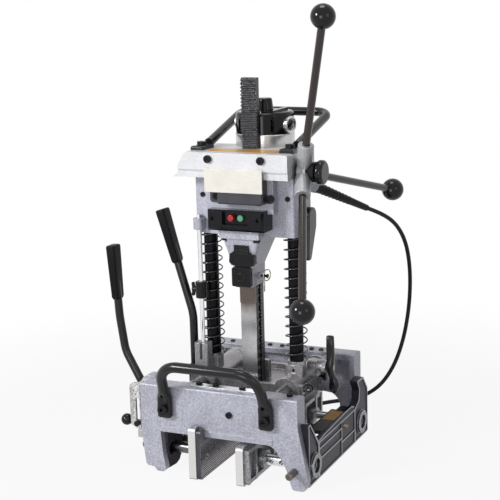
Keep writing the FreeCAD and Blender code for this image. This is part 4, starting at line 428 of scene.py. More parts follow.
# name, colour, roughness, grain, mottle, metallic, coat, specular, worn edges, their width, easing
FINISHES: dict[str, Finish] = {f.name: f for f in (
    Finish("hammered_paint", SILVER, 0.4, Grain.HAMMERED, 0.09, 0.2, 0.1, 0.5, WORN_GREY, 0.0013),
    Finish("hood_paint", (0.7, 0.705, 0.73), 0.38, Grain.HAMMERED, 0.04, 0.2, 0.15, 0.5, WORN_PALE, 0.0013),
    Finish("hub_paint", (0.42, 0.425, 0.44), 0.38, Grain.HAMMERED, 0.06, 0.2, 0.15, 0.5, WORN_GREY, 0.0013),
    Finish("slide_casting", (0.32, 0.31, 0.32), 0.34, Grain.CAST, 0.11, 0.75, worn=(0.75, 0.75, 0.76)),
    MilledFinish("jaw_casting", (0.3, 0.3, 0.315), 0.36, Grain.CAST, 0.2, 0.5, 0.1, worn=WORN_PALE,
                 zone_colour=(0.74, 0.73, 0.72), zone_roughness=0.28, axis_index=1, side=-1.0, beyond=153.0),
    MilledFinish("dark_ended_rod", (0.7, 0.71, 0.73), 0.16, Grain.BRUSHED_X, 0.08, 1.0,
                 zone_colour=(0.02, 0.02, 0.024), zone_roughness=0.4, zone_metallic=0.3, beyond=127.0),
    Finish("bright_edge", (0.27, 0.27, 0.31), 0.36, Grain.CAST, 0.1, 0.8),
    Finish("dull_rod", (0.14, 0.14, 0.15), 0.25, Grain.BRUSHED_X, 0.1, 1.0),
    Finish("brown_pin", (0.15, 0.12, 0.11), 0.3, Grain.CAST, 0.08, 1.0, worn=(0.4, 0.36, 0.34)),
    Finish("dull_ring", (0.2, 0.2, 0.215), 0.3, Grain.CAST, 0.15, 1.0, worn=(0.7, 0.7, 0.7)),
    # painted shade: a dark copy of the hammered paint for the inside of the left leg, where shade falls
    Finish("painted_shade_casting", (0.07, 0.064, 0.08), 0.6, Grain.HAMMERED, 0.14, specular=0.08),
    Finish("shelf_black", (0.014, 0.014, 0.02), 0.45, Grain.WRINKLED, 0.2, specular=0.2),
    PanelFinish("panel_black", (0.016, 0.016, 0.023), 0.42, Grain.WRINKLED, 0.2, 0.1, 0.0, 0.3,
                zone_colour=(0.27, 0.27, 0.31), zone_roughness=0.36),
    Finish("machined_steel", (0.5, 0.49, 0.49), 0.26, Grain.BRUSHED_Y, 0.18, 1.0, worn=(0.78, 0.78, 0.79)),
    Finish("black_enamel", INK, 0.24, Grain.SMOOTH, 0.2, 0.0, 0.1, 0.3),
    Finish("black_oxide", (0.008, 0.008, 0.01), 0.28, Grain.MATT, 0.2, 0.1, 0.0, 0.2, (0.22, 0.22, 0.23),
           0.0004, 0.0003),
    Finish("bright_strip", (0.7, 0.71, 0.73), 0.3, Grain.BRUSHED_X, 0.08, 1.0),
    Finish("zinc_plate", (0.55, 0.54, 0.54), 0.32, Grain.CAST, 0.18, 1.0),
    Finish("black_plastic", INK, 0.1, Grain.SMOOTH, 0.1, 0.0, 0.15, 0.2),
    # painted highlight: bright bands on the crests of the serrated face
    RidgeHighlightFinish("serrated_steel", (0.07, 0.07, 0.08), 0.36, Grain.BRUSHED_Y, 0.2, 0.8, 0.0, 0.5,
                 (0.6, 0.6, 0.62), 0.0005, 0.0002, zone_colour=(0.5, 0.48, 0.5)),
    Finish("grip_rubber", (0.006, 0.005, 0.007), 0.42, Grain.MATT, specular=0.1),
    Finish("black_steel", INK, 0.2, Grain.BRUSHED_Z, 0.1, 0.1, 0.0, 0.12),
    Finish("phosphated_steel", (0.05, 0.05, 0.055), 0.3, Grain.CAST, 0.2, 0.5, 0.0, 0.2, WORN_DARK, 0.0006),
    Finish("chrome_rod", (0.82, 0.83, 0.85), 0.1, Grain.SMOOTH, 0.04, 1.0),
    Finish("spring_steel", (0.3, 0.3, 0.32), 0.25, metallic=1.0),
    Finish("spring_black", (0.05, 0.05, 0.055), 0.2, metallic=0.8, coat=0.2),
    Finish("grey_cover", (0.06, 0.06, 0.072), 0.36, Grain.WRINKLED, 0.15, 0.1, 0.0, 0.25, (0.2, 0.2, 0.21)),
    Finish("blank_plate", (0.8, 0.77, 0.71), 0.35, Grain.BRUSHED_X, 0.05, 0.3, 0.1),
    Finish("black_gloss", INK, 0.14, Grain.SMOOTH, 0.1, 0.0, 0.12, 0.16),
    Finish("red_button", (0.5, 0.006, 0.012), 0.25, Grain.SMOOTH, 0.08, 0.0, 0.5, 0.3),
    Finish("green_button", (0.1, 0.33, 0.19), 0.25, Grain.SMOOTH, 0.08, 0.0, 0.5, 0.3),
    Finish("motor_shell", (0.6, 0.59, 0.58), 0.25, Grain.BRUSHED_Z, 0.12, 0.9),
    Finish("brush_ring", (0.7, 0.7, 0.7), 0.22, Grain.CAST, 0.06, 1.0),
    Finish("black_cover", (0.007, 0.007, 0.009), 0.28, Grain.WRINKLED, specular=0.18,
           worn=(0.12, 0.12, 0.12)),
    Finish("bar_steel", (0.34, 0.33, 0.33), 0.3, Grain.BRUSHED_Z, 0.2, 1.0),
    Finish("chain_steel", (0.012, 0.012, 0.014), 0.3, Grain.CAST, 0.2, 0.3, 0.0, 0.2, WORN_DARK, 0.0004),
    TintedFinish("guard_steel", (0.52, 0.51, 0.52), 0.24, Grain.BRUSHED_Z, 0.15, 1.0,
                 zone_colour=(0.13, 0.1, 0.088)),
    Finish("bush_bronze", (0.42, 0.27, 0.12), 0.3, Grain.CAST, 0.1, 1.0),
    Finish("spoke_brown", (0.016, 0.008, 0.006), 0.2, Grain.SMOOTH, 0.2, 0.0, 0.2, 0.45),
    Finish("cord_rubber", (0.007, 0.007, 0.009), 0.42, Grain.MATT, 0.12, specular=0.2),
    Finish("blank_label", (0.62, 0.3, 0.04), 0.4, mottle=0.12, coat=0.2),
    # painted light: a brighter copy of the labels' amber, to make up for the shade that the shelf label sits
    # in
    Finish("shelf_amber_painted_light", (0.9, 0.47, 0.12), 0.4, mottle=0.2, coat=0.1),
    # painted shade: the amber label's front half, which lies in shadow, coloured dark brown
    Finish("painted_shade_label", (0.035, 0.022, 0.01), 0.35, mottle=0.2, coat=0.2),
    Finish("pale_split_ring", (0.72, 0.68, 0.45), 0.35, Grain.SMOOTH, 0.12, 0.3),
)}


# -------- mesh building
CORNER_POINTS = 5
SIDE_POINTS = (0.5, 0.0, -0.5)  # shares of a side's half width
MERGED = 0.0005  # points closer than this become one, in millimetres


@dataclass(frozen=True)
class Station:
    """Rounded section of a bar: place, half sizes, corner radius, dent in the side that depth points to."""

    at: Place
    wide: float
    deep: float
    corner: float
    dent: float = 0.0

    def section(self) -> list[Spot]:
        """Outline of the section.

        Returns:
            Points round it, across its width and along its depth.
        """
        radius = min(self.corner, self.wide, self.deep)
        points = []
        for quarter, (sx, sy) in enumerate(((1, 1), (-1, 1), (-1, -1), (1, -1))):
            for i in range(CORNER_POINTS):
                turn = math.radians(90 * quarter + 90 * i / (CORNER_POINTS - 1))
                points.append((sx * (self.wide - radius) + radius * math.cos(turn),
                               sy * (self.deep - radius) + radius * math.sin(turn)))
            if quarter in (0, 2):
                points += [(sx * (self.wide - radius) * k, self.pressed(sy, k)) for k in SIDE_POINTS]
            else:
                points += [(sx * self.wide, sy * (self.deep - radius) * k) for k in SIDE_POINTS]
        return points

    def pressed(self, side: int, share: float) -> float:
        """Depth of a long side at a share of its width, with the dent in it."""
        return side * (self.deep - (self.dent * (1 - abs(share)) if side > 0 else 0.0))


def circle(count: int) -> list[Spot]:
    """Cosine and sine of evenly spaced turns."""
    return [(math.cos(t), math.sin(t)) for t in (2 * math.pi * i / count for i in range(count))]


def ways(line: Sequence[Vector]) -> list[Vector]:
    """Direction of a line at each of its points."""
    pairs = zip([line[0], *line[:-1]], [*line[1:], line[-1]])
    return [(after - before).normalized() for before, after in pairs]


def link(name: str, data: Any) -> bpy.types.Object:
    """Puts data into the scene.

    Args:
        name: Name of the new object.
        data: Mesh, camera or light.

    Returns:
        The object.
    """
    made = bpy.data.objects.new(name, data)
    bpy.context.scene.collection.objects.link(made)
    return made


class Form:
    """A mesh under construction, in millimetres in the frame's axes."""

    def __init__(self) -> None:
        """Starts empty."""
        self.mesh = bmesh.new()

    def rings(self, rings: Sequence[Sequence[Vector]], closed: bool = False) -> "Form":
        """Skins rings of points.

        Args:
            rings: Rings with as many points each.
            closed: Joins the last ring to the first; otherwise both ends are capped.

        Returns:
            This form.
        """
        made = [[self.mesh.verts.new(p) for p in ring] for ring in rings]
        count = len(made[0])
        for low, high in list(zip(made, made[1:])) + ([(made[-1], made[0])] if closed else []):
            for i in range(count):
                j = (i + 1) % count
                self.mesh.faces.new((low[i], low[j], high[j], high[i]))
        if not closed:
            self.mesh.faces.new(list(reversed(made[0])))
            self.mesh.faces.new(made[-1])
        return self

    def turned(self, profile: Sequence[Spot], start: Place | Vector, way: Place | Vector, count: int,
               closed: bool = False) -> "Form":
        """Solid of revolution.

        Args:
            profile: Radius and place along the axis, from end to end.
            start: Point on the axis, in millimetres.
            way: Direction of the axis.
            count: Number of sides.
            closed: Joins the last pair to the first, for a ring.

        Returns:
            This form.
        """
        along = Vector(way).normalized()
        side = along.orthogonal().normalized()
        other = along.cross(side)
        spokes = [side * c + other * s for c, s in circle(count)]
        return self.rings([[Vector(start) + along * z + s * r for s in spokes] for r, z in profile], closed)

    def plate(self, outlines: Sequence[Sequence[Spot]], axis: int, low: float, high: float) -> "Form":
        """Flat plate with holes.

        Args:
            outlines: Outline and holes, in the other two axes.
            axis: Index of the axis that the plate is flat to.
            low: Lower face along that axis.
            high: Upper face along that axis.

        Returns:
            This form.
        """
        edges = []
        for outline in outlines:
            made = [self.mesh.verts.new(self.lifted(point, axis, low)) for point in outline]
            edges += [self.mesh.edges.new(pair) for pair in zip(made, made[1:] + made[:1])]
        flat = bmesh.ops.triangle_fill(self.mesh, use_beauty=True, use_dissolve=False, edges=edges)["geom"]
        faces = [f for f in flat if isinstance(f, bmesh.types.BMFace)]
        both = bmesh.ops.extrude_face_region(self.mesh, geom=faces)["geom"]
        raised = [v for v in both if isinstance(v, bmesh.types.BMVert)]
        bmesh.ops.translate(self.mesh, vec=self.lifted((0, 0), axis, high - low), verts=raised)
        return self

    @staticmethod
    def lifted(point: Spot, axis: int, height: float) -> Vector:
        """Point of a plane that lies at a height along an axis."""
        return Vector((*point[:axis], height, *point[axis:]))

    def tube(self, line: Sequence[Vector], radius: float, count: int) -> "Form":
        """Round bar along a line of points, without twist.

        Args:
            line: Points of the centre line, in millimetres.
            radius: Radius of the bar.
            count: Number of sides.

        Returns:
            This form.
        """
        way = ways(line)[0]
        side = way.orthogonal().normalized()
        rings = []
        for point, ahead in zip(line, ways(line)):
            way, side = ahead, (way.rotation_difference(ahead) @ side).normalized()
            other = way.cross(side)
            rings.append([point + (side * c + other * s) * radius for c, s in circle(count)])
        return self.rings(rings)

    def bar(self, stations: Sequence[Station], across: Place, deep: bool = False) -> "Form":
        """Bar whose rounded section changes along its line.

        Args:
            stations: Sections from one end to the other.
            across: Direction that the sections' widths follow.
            deep: The direction is the sections' depth instead.

        Returns:
            This form.
        """
        places = [Vector(s.at) for s in stations]
        rings = []
        for place, ahead, station in zip(places, ways(places), stations):
            side = (Vector(across) - ahead * ahead.dot(Vector(across))).normalized()
            wide, far = (side.cross(ahead), side) if deep else (side, ahead.cross(side))
            rings.append([place + wide * a + far * b for a, b in station.section()])
        return self.rings(rings)

    def ended(self, name: str) -> bpy.types.Mesh:
        """Ends the form.

        Args:
            name: Name of the mesh.

        Returns:
            The form as a clean mesh in metres.
        """
        bmesh.ops.remove_doubles(self.mesh, verts=self.mesh.verts, dist=MERGED)
        bmesh.ops.dissolve_degenerate(self.mesh, edges=self.mesh.edges, dist=MERGED)
        bmesh.ops.recalc_face_normals(self.mesh, faces=self.mesh.faces)
        bmesh.ops.scale(self.mesh, vec=(MM, MM, MM), verts=self.mesh.verts)
        data = bpy.data.meshes.new(name)
        self.mesh.to_mesh(data)
        self.mesh.free()
        return data

    def piece(self, name: str, finish: str, body: str, sharp: float = 40.0,
              slot: str | None = None) -> bpy.types.Object:
        """Turns the form into a piece of the model.

        Args:
            name: Name of the piece.
            finish: Name of its finish.
            body: Body that it rides on.
            sharp: Angle in degrees above which an edge stays sharp.
            slot: Slot of the record, where its name isn't the finish's; not used.

        Returns:
            The new object.
        """
        made = link(name, self.ended(name))
        dress(made, finish)
        made.data.shade_smooth()
        made.data.set_sharp_from_angle(angle=math.radians(sharp))
        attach(made, body)
        LOG.info("%s: %d faces", name, len(made.data.polygons))
        return made


def dress(piece: bpy.types.Object, finish: str) -> None:
    """Gives a piece one finish all over.

    Args:
        piece: Node of the frame or piece made here.
        finish: Name of the finish.
    """
    piece.data.materials.clear()
    piece.data.materials.append(FINISHES[finish].material())


def ring_of(centre: Spot, radius: float, count: int) -> list[Spot]:
    """Round outline in a plane."""
    return [(centre[0] + radius * c, centre[1] + radius * s) for c, s in circle(count)]


def oblong(low: Spot, high: Spot) -> list[list[Spot]]:
    """Outlines of a plate that is a rectangle between two opposite corners."""
    return [[low, (high[0], low[1]), high, (low[0], high[1])]]


def bore(piece: bpy.types.Object, tool: Form) -> None:
    """Cuts a form's shape out of a piece.

    Args:
        piece: Piece that is cut.
        tool: Form that is used up.
    """
    cutter = link("cutter", tool.ended("cutter"))
    step = piece.modifiers.new("bore", "BOOLEAN")
    step.operation = "DIFFERENCE"
    step.object = cutter
    whole = piece.evaluated_get(bpy.context.evaluated_depsgraph_get())
    piece.data = bpy.data.meshes.new_from_object(whole)
    piece.modifiers.clear()
    bpy.data.meshes.remove(cutter.data)


# -------- sub-assemblies
@dataclass
class Springs:
    """Return springs round the posts, between the collars and the ears."""

    coil_radius: float = 16.6
    wire: float = 1.1
    wire_sides: int = 12
    pitch: float = 15.0
    post_x: float = 70.75
    post_y: float = -19.0
    low: float = 163.0
    high: float = 360.0
    head_travel: float = 82.0
    steps: int = 40

    def build(self) -> None:
        """Builds both springs."""
        low, high = self.low + self.wire, self.high - self.wire
        count = round((high - low) / self.pitch) * self.steps
        rise = (high - low) / count
        form = Form()
        for x in (-self.post_x, self.post_x):
            turn = ring_of((x, self.post_y), self.coil_radius, self.steps)
            line = [Vector((*turn[i % self.steps], low + rise * i)) for i in range(count + 1)]
            form.tube(line, self.wire, self.wire_sides)
        piece = form.piece("coil_springs", "spring_black", "head")
        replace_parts(piece, "return_springs")
        span = self.high - self.low
        self.high * MM
        (span - self.head_travel) / span
        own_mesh(piece)


@dataclass
class LeverGrips:
    """Flat-sided rubber grips on the two long levers."""

    half_wide: float = 7.2
    half_deep: float = 12.0
    taper: float = 0.84
    corner: float = 2.6
    overlap: float = 0.35
    ends: tuple[tuple[str, str, str, Place, Place, float], ...] = (
        ("clamp_grip_sleeve", "clamp_grip", "clamp", (-205.82, -79, 226), (-208.82, -79, 283), 86),
        ("traverse_grip_sleeve", "traverse_grip", "traverse", (-121.5, -33, 303), (-131.5, -33, 337), 87))
    swell: Profile = ((0, 0.8), (0.012, 0.9), (0.03, 0.92), (0.04, 1), (0.5, 1), (0.965, 1), (0.99, 0.95),
                      (1, 0.8))

    def build(self) -> None:
        """Builds both grips, each from two points on the end of its lever's centre line."""
        for name, node, body, first, last, length in self.ends:
            way = (Vector(last) - Vector(first)).normalized()
            start = Vector(last) - way * (length * self.overlap)
            stations = []
            for share, swell in self.swell:
                size = (self.taper + (1 - self.taper) * share) * swell
                stations.append(Station(tuple(start + way * (length * share)), self.half_wide * size,
                                        self.half_deep * size, self.corner))
            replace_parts(Form().bar(stations, ACROSS).piece(name, "grip_rubber", body, sharp=30), node)


@dataclass
class FrontHandle:
    """Bent tube with flattened, pressed feet on the front wall.

    A row of the foot gives its share of the lean, its distance before the wall and its height, as the leg's
    point does, and then the half sizes of the section, its corner radius and its dent.
    """

    left: float = -96.7
    right: float = 71.0
    face: float = -137.0
    tube: float = 8.0
    bend: float = 34.0
    bend_steps: int = 12
    left_lean: float = 7.0
    right_lean: float = 3.0
    top_out: float = 31.0
    top_z: float = 181.0
    bar_from: float = 60.0
    foot: Rows = (
        (0, 4.5, 91, 9.5, 3.6, 3, 0), (0, 4.5, 93, 11.4, 4.4, 3, 0),
        (0, 4.5, 104, 11.5, 4.5, 3, 0), (0, 4.5, 113, 11.4, 4.6, 3.4, 0.6),
        (0.03, 4.9, 119, 11.4, 5, 3.8, 2.4), (0.08, 5.7, 124, 11.1, 5.8, 4.6, 3.4),
        (0.13, 6.7, 127.5, 10.2, 6.4, 5.2, 2.8), (0.2, 8.7, 131, 8.9, 7.2, 6.3, 1.2),
        (0.34, 11.9, 138, 8.1, 8, 8, 0))
    leg: tuple[float, float, float] = (0.45, 14.5, 145)

    def half(self, foot_x: float, way: int, lean: float) -> list[Station]:
        """Sections from one foot to the end of its bend.

        Args:
            foot_x: Place of the foot.
            way: One where the handle goes on towards +x, else minus one.
            lean: How far the upper corner stands in from the foot.

        Returns:
            The sections.
        """
        made = [Station((share * lean, self.face - out, z), wide, deep, corner, dent)
                for share, out, z, wide, deep, corner, dent in self.foot]
        start = Vector((self.leg[0] * lean, self.face - self.leg[1], self.leg[2]))
        corner = Vector((lean, self.face - self.top_out, self.top_z))
        onward = Vector((self.bar_from, self.face - self.top_out, self.top_z))
        before, after = (start - corner).normalized(), (onward - corner).normalized()
        reach = self.bend / math.tan(before.angle(after) / 2)
        middle = (before + after).normalized()
        centre = corner + middle * (self.bend / math.sin(before.angle(after) / 2))
        first, last = corner + before * reach - centre, corner + after * reach - centre
        arc = [first.slerp(last, i / self.bend_steps).normalized() * self.bend + centre
               for i in range(self.bend_steps + 1)]
        made += [Station(tuple(p), self.tube, self.tube, self.tube) for p in [start] + arc]
        return [replace(s, at=(foot_x + way * s.at[0], s.at[1], s.at[2])) for s in made]

    def build(self) -> None:
        """Builds the handle in the plain one's place."""
        run = self.half(self.left, 1, self.left_lean) + self.half(self.right, -1, self.right_lean)[::-1]
        form = Form().bar(run, (0, -1, 0), True)
        piece = form.piece("front_handle_tube", "black_enamel", "base", sharp=50)
        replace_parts(piece, "front_handle")


@dataclass
class SlideLock:
    """Forged lock lever on its hub, and the tension spring that pulls its foot.

    A row of the blade gives its height, its place across and the half sizes of its section. A row of the arm
    gives its height, its half sizes and its corner radius.
    """

    x: float = 100.5
    y: float = 10.0
    z: float = 130.0
    wire: float = 1.7
    wire_sides: int = 10
    coil: float = 6.3
    turns: int = 7
    steps: int = 20
    neck: float = 0.35
    neck_steps: int = 12
    lead: float = 2.0
    shank: float = 17.0
    eye: float = 3.9
    eye_y: float = -57.0
    eye_open: int = 150
    eye_step: int = 15
    hook_on: float = 3.0
    hook_before: float = 6.0
    hook_back: float = 7.0
    moves_from: float = -8.0
    moves_to: float = 4.0
    hub_x: float = 93.9
    hub_z: float = 147.0
    hub: Profile = ((5.2, 0), (10.4, 0), (11.4, 1.2), (11.4, 10), (10.2, 12), (9.6, 15.2), (5.2, 15.2))
    hub_sides: int = 40
    bore_x: float = 90.0
    bore: Profile = ((5.2, 0), (5.2, 40))
    bore_sides: int = 32
    blade: Rows = (
        (198, 115, 4.4, 2.4), (196.5, 115, 6, 3.8), (180, 115.2, 6.4, 4.4), (164, 115.4, 6.3, 4.8),
        (157, 115.4, 6, 6.6), (147, 115.4, 6.2, 9.8), (139, 116.6, 4.8, 7.4), (132, 118.4, 4.6, 5.8),
        (126, 120.4, 6.8, 6.4), (119, 121.4, 8.3, 7.2), (112, 121, 7.4, 6.6), (107.5, 120.6, 4, 4))
    blade_corner: float = 0.8
    arm_x: float = 106.4
    arm: Rows = ((126, 2.8, 4.5, 2), (141, 2.8, 4.5, 2))
    peg_x: float = 96.5
    peg: Profile = ((1.6, 0), (1.6, 7))
    peg_sides: int = 16

    def line(self) -> list[Vector]:
        """Centre line of the spring's wire.

        Returns:
            Points from the eye round the carriage's pin to the end of the hook round the lever's peg.
        """
        x, z = self.x, self.z
        start, end = self.eye_y + self.eye + self.lead, self.y - self.shank
        eye = [math.radians(a) for a in range(-self.eye_open, self.eye_open + 1, self.eye_step)]
        points = [Vector((x, self.eye_y - self.eye * math.cos(t), z + self.eye * math.sin(t))) for t in eye]
        count = self.turns * self.steps
        for i in range(count + 1):
            up, across = circle(self.steps)[i % self.steps]
            reach = self.coil * min(1.0, self.neck + min(i, count - i) / self.neck_steps)
            points.append(Vector((x + reach * across, start + (end - start) * i / count, z + reach * up)))
        points += [Vector((x, y, z + self.eye)) for y in (end + self.hook_on, self.y - self.hook_before)]
        points += [Vector((x, self.y + self.eye * math.sin(t), z + self.eye * math.cos(t)))
                   for t in (math.radians(a) for a in range(0, 181, self.eye_step))]
        points.append(Vector((x, self.y - self.hook_back, z - self.eye)))
        return points

    def build(self) -> None:
        """Builds the lever with the peg that the spring hooks on, its hub and its spring."""
        blade = [Station((x, self.y, z), wide, deep, min(wide, deep) * self.blade_corner)
                 for z, x, wide, deep in self.blade]
        arm = [Station((self.arm_x, self.y, z), *sizes) for z, *sizes in self.arm]
        form = Form().bar(blade, ACROSS).bar(arm, ACROSS)
        form.turned(self.peg, (self.peg_x, self.y, self.z), ACROSS, self.peg_sides)
        lever = form.piece("lock_lever_blade", "black_enamel", "lock_lever", sharp=55)
        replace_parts(lever, "lock_lever")
        bore(lever, Form().turned(self.bore, (self.bore_x, self.y, self.hub_z), ACROSS, self.bore_sides))
        hub = Form().turned(self.hub, (self.hub_x, self.y, self.hub_z), ACROSS, self.hub_sides, True)
        hub.piece("lock_lever_hub", "slide_casting", "lock_lever", sharp=30)
        spring = Form().tube(self.line(), self.wire, self.wire_sides)
        spring = spring.piece("lock_spring_coil", "spring_black", "carriage", sharp=60, slot="spring_steel")
        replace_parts(spring, "lock_spring")
        spring.parent = None
        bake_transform(spring)


@dataclass(frozen=True)
class Sheet:
    """Flat piece: its outline and holes, the axis it is flat to, its faces along that axis and its looks."""

    name: str
    outlines: Sequence[Sequence[Spot]]
    axis: int
    low: float
    high: float
    finish: str
    slot: str | None = None

    def build(self, body: str) -> None:
        """Builds the piece on a body."""
        form = Form().plate(self.outlines, self.axis, self.low, self.high)
        form.piece(self.name, self.finish, body, slot=self.slot)


LEG_WEB = (((-125, 2), (-100, 0), (-89, 3), (-81, 13), (-76.5, 30), (-75.5, 60), (-75.5, 96), (-125, 96)),
           ring_of((-111, 29.6), 9.8, 32))
REAR_WEB = ((88, 6), (118.5, 6), (118.5, 82), (64, 82), (64, 67), (74, 66), (80, 62), (84.5, 57), (87.5, 50),
            (88, 46))
CREST_TOP = [(-91, 62), (-60, 66), (-10, 68), (30, 70), (58, 70), (69, 66)]
CREST = [(-93, 57)] + CREST_TOP + [(69, 57)]
CREST_EDGE = CREST_TOP + [(y, z - 2.2) for y, z in reversed(CREST_TOP)]
BASE_SHEETS = (
    # painted shade: the left leg's web is hammered paint coloured dark for the shade inside the leg
    Sheet("left_leg_web", LEG_WEB, 0, -113, -103, "painted_shade_casting", "hammered_paint"),
    Sheet("rear_leg_web", (REAR_WEB,), 1, 121, 125.5, "hammered_paint"),
    Sheet("label_shelf", oblong((87, -24), (119.2, 84)), 2, 48, 51.3, "shelf_black", "panel_black"),
    # painted light: the back half of the shelf label in the brightened amber
    Sheet("shelf_label_amber", oblong((89.5, 33), (117.5, 77)), 2, 51.2, 51.7, "shelf_amber_painted_light", "blank_plate"),
    # painted shade: the front half of the same label, dark brown where shadow falls on it
    Sheet("shelf_label_painted_shade", oblong((89.5, -20), (117.5, 32)), 2, 51.2, 51.7, "painted_shade_label", "blank_plate"),
    Sheet("panel_crest", (CREST,), 0, 128, 131.8, "shelf_black", "panel_black"),
    Sheet("panel_crest_edge", (CREST_EDGE,), 0, 127.9, 132.1, "bright_edge", "panel_black"),
)
HOOD_LABEL = Sheet("hood_label", oblong((-52, -60), (60, -30)), 2, 488.9, 489.4, "blank_label",
                   "blank_plate")


@dataclass
class BaseDetails:
    """Webs, shelf, blank labels, crest and pin of the base that the plain castings lack; the left leg's web
    is coloured as painted shade, and the shelf label has one half painted lighter and one half painted as
    shade.
    """

    pin: Profile = ((2.9, 0), (2.9, 16), (2.2, 17))
    pin_sides: int = 24
    pin_at: Place = (122.0, 20.0, 50.0)

    def build(self) -> None:
        """Builds the pieces."""
        for sheet in BASE_SHEETS:
            sheet.build("base")
        pin = Form().turned(self.pin, self.pin_at, ACROSS, self.pin_sides)
        pin.piece("panel_pin", "brown_pin", "base", slot="machined_steel")


@dataclass
class HeadDetails:
    """Blank hood label, the motor's brush caps, and the pin, pull ring and flat key beside the neck."""

    pin: Profile = ((2, 0), (2, 13), (3.4, 13.2), (3.4, 15))
    pin_sides: int = 24
    pin_at: Place = (16.0, -32.0, 296.0)
    ring_at: Place = (30.0, -34.0, 298.0)
    ring_way: Place = (0.96, -0.28, 0)
    ring_radius: float = 8.6
    ring_wire: float = 0.9
    ring_sides: int = 36
    wire_sides: int = 10
    cap: Profile = ((8.6, 0), (8.6, 1), (8, 1.4))
    cap_sides: int = 32
    cap_centre: Place = (0, 39.5, 521.5)
    cap_reach: float = 46.8
    cap_turn: float = -12.0
    key_at: Spot = (25.5, -34.0)
    key_way: Place = (0.3, -0.95, 0)
    key: Profile = ((292, 2.2), (290, 3.0), (276, 2.6), (272, 1.4))
    key_thick: float = 0.9
    key_corner: float = 0.5

    def build(self) -> None:
        """Builds the pieces."""
        HOOD_LABEL.build("head")
        Form().turned(self.pin, self.pin_at, ACROSS, self.pin_sides).piece("neck_pin", "black_oxide", "head")
        wire = ring_of((self.ring_radius, 0), self.ring_wire, self.wire_sides)
        ring = Form().turned(wire, self.ring_at, self.ring_way, self.ring_sides, True)
        ring.piece("neck_pull_ring", "pale_split_ring", "head", sharp=60, slot="spring_steel")
        for side, name in ((-1, "brush_cap_left"), (1, "brush_cap_right")):
            out = Matrix.Rotation(math.radians(self.cap_turn), 3, "Z") @ Vector((side, 0, 0))
            start = Vector(self.cap_centre) + out * self.cap_reach
            Form().turned(self.cap, start, out, self.cap_sides).piece(name, "black_plastic", "head")
        key = [Station((*self.key_at, z), wide, self.key_thick, self.key_corner) for z, wide in self.key]
        Form().bar(key, self.key_way).piece("neck_flat_key", "dull_ring", "head", slot="machined_steel")


@dataclass
class MainsCord:
    """Cord from the strain relief down to its coil on the floor; route, tail and length are in metres."""

    radius: float = 3.5
    sides: int = 16
    coil_x: float = -49.0
    coil_y: float = 240.0
    outer: float = 52.5
    wide: int = 4
    high: int = 4
    lowest: float = 4.4
    meets: float = -40.0
    leaves: float = -90.0
    steps: int = 16
    length: float = 4.8
    route: tuple[Place, ...] = (
        (0.115, 0.185, 0.369), (0.132, 0.216, 0.355), (0.147, 0.246, 0.332), (0.156, 0.268, 0.298),
        (0.159, 0.281, 0.254), (0.157, 0.289, 0.205), (0.151, 0.293, 0.156), (0.141, 0.2935, 0.109),
        (0.126, 0.290, 0.066), (0.104, 0.282, 0.031), (0.074, 0.270, 0.011), (0.047, 0.2595, 0.006),
        (0.0225, 0.2435, 0.0045), (0.0094, 0.2279, 0.0044))
    tail: tuple[Place, ...] = (
        (-0.066, 0.1875, 0.0225), (-0.082, 0.1875, 0.016), (-0.097, 0.1875, 0.0094), (-0.113, 0.1875, 0.009))

    def coil(self) -> tuple[Place, ...]:
        """Control points of the wound turns: each layer runs in or out, a diameter a turn.

        Returns:
            The points, in metres.
        """
        order = [(layer, column if layer % 2 == 0 else self.wide - 1 - column)
                 for layer in range(self.high) for column in range(self.wide)]
        turns = len(order) + (self.meets - self.leaves) / 360
        count = round(turns * self.steps)
        points = []
        for i in range(count + 1):
            turn = turns * i / count
            low = min(int(turn), len(order) - 1)
            high = min(low + 1, len(order) - 1)
            layer, column = [a + (b - a) * (turn - low) for a, b in zip(order[low], order[high])]
            radius = self.outer - column * 2 * self.radius
            angle = math.radians(self.meets) - 2 * math.pi * turn
            points.append(((self.coil_x + radius * math.cos(angle)) * MM,
                           (self.coil_y + radius * math.sin(angle)) * MM,
                           (self.lowest + layer * 2 * self.radius) * MM))
        return tuple(points)

    def smooth(self, points: Sequence[Place]) -> list[Vector]:
        """Runs one smooth line along control points.

        Args:
            points: The control points, in metres.

        Returns:
            Points of the line, in metres.
        """
        data = bpy.data.curves.new("cord_line", "CURVE")
        data.dimensions = "3D"
        spline = data.splines.new("NURBS")
        spline.points.add(len(points) - 1)
        for made, point in zip(spline.points, points):
            made.co = (*point, 1.0)
        spline.order_u = 3
        spline.use_endpoint_u = True
        data.resolution_u = 6
        line = bpy.data.objects.new("cord_line", data)
        flat = bpy.data.meshes.new_from_object(line)
        path = [v.co.copy() for v in flat.vertices]
        bpy.data.meshes.remove(flat)
        bpy.data.objects.remove(line)
        return path

    def build(self) -> None:
        """Builds the cord."""
        path = self.smooth(self.route + self.coil() + self.tail)
        form = Form().tube([p / MM for p in path], self.radius, self.sides)
        piece = form.piece("mains_cord", "cord_rubber", "carriage")
        LOG.info("cord is %.2f m long", sum((b - a).length for a, b in zip(path, path[1:])))
        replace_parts(piece, "cord", "cord_coil")
        piece.parent = None
        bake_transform(piece)


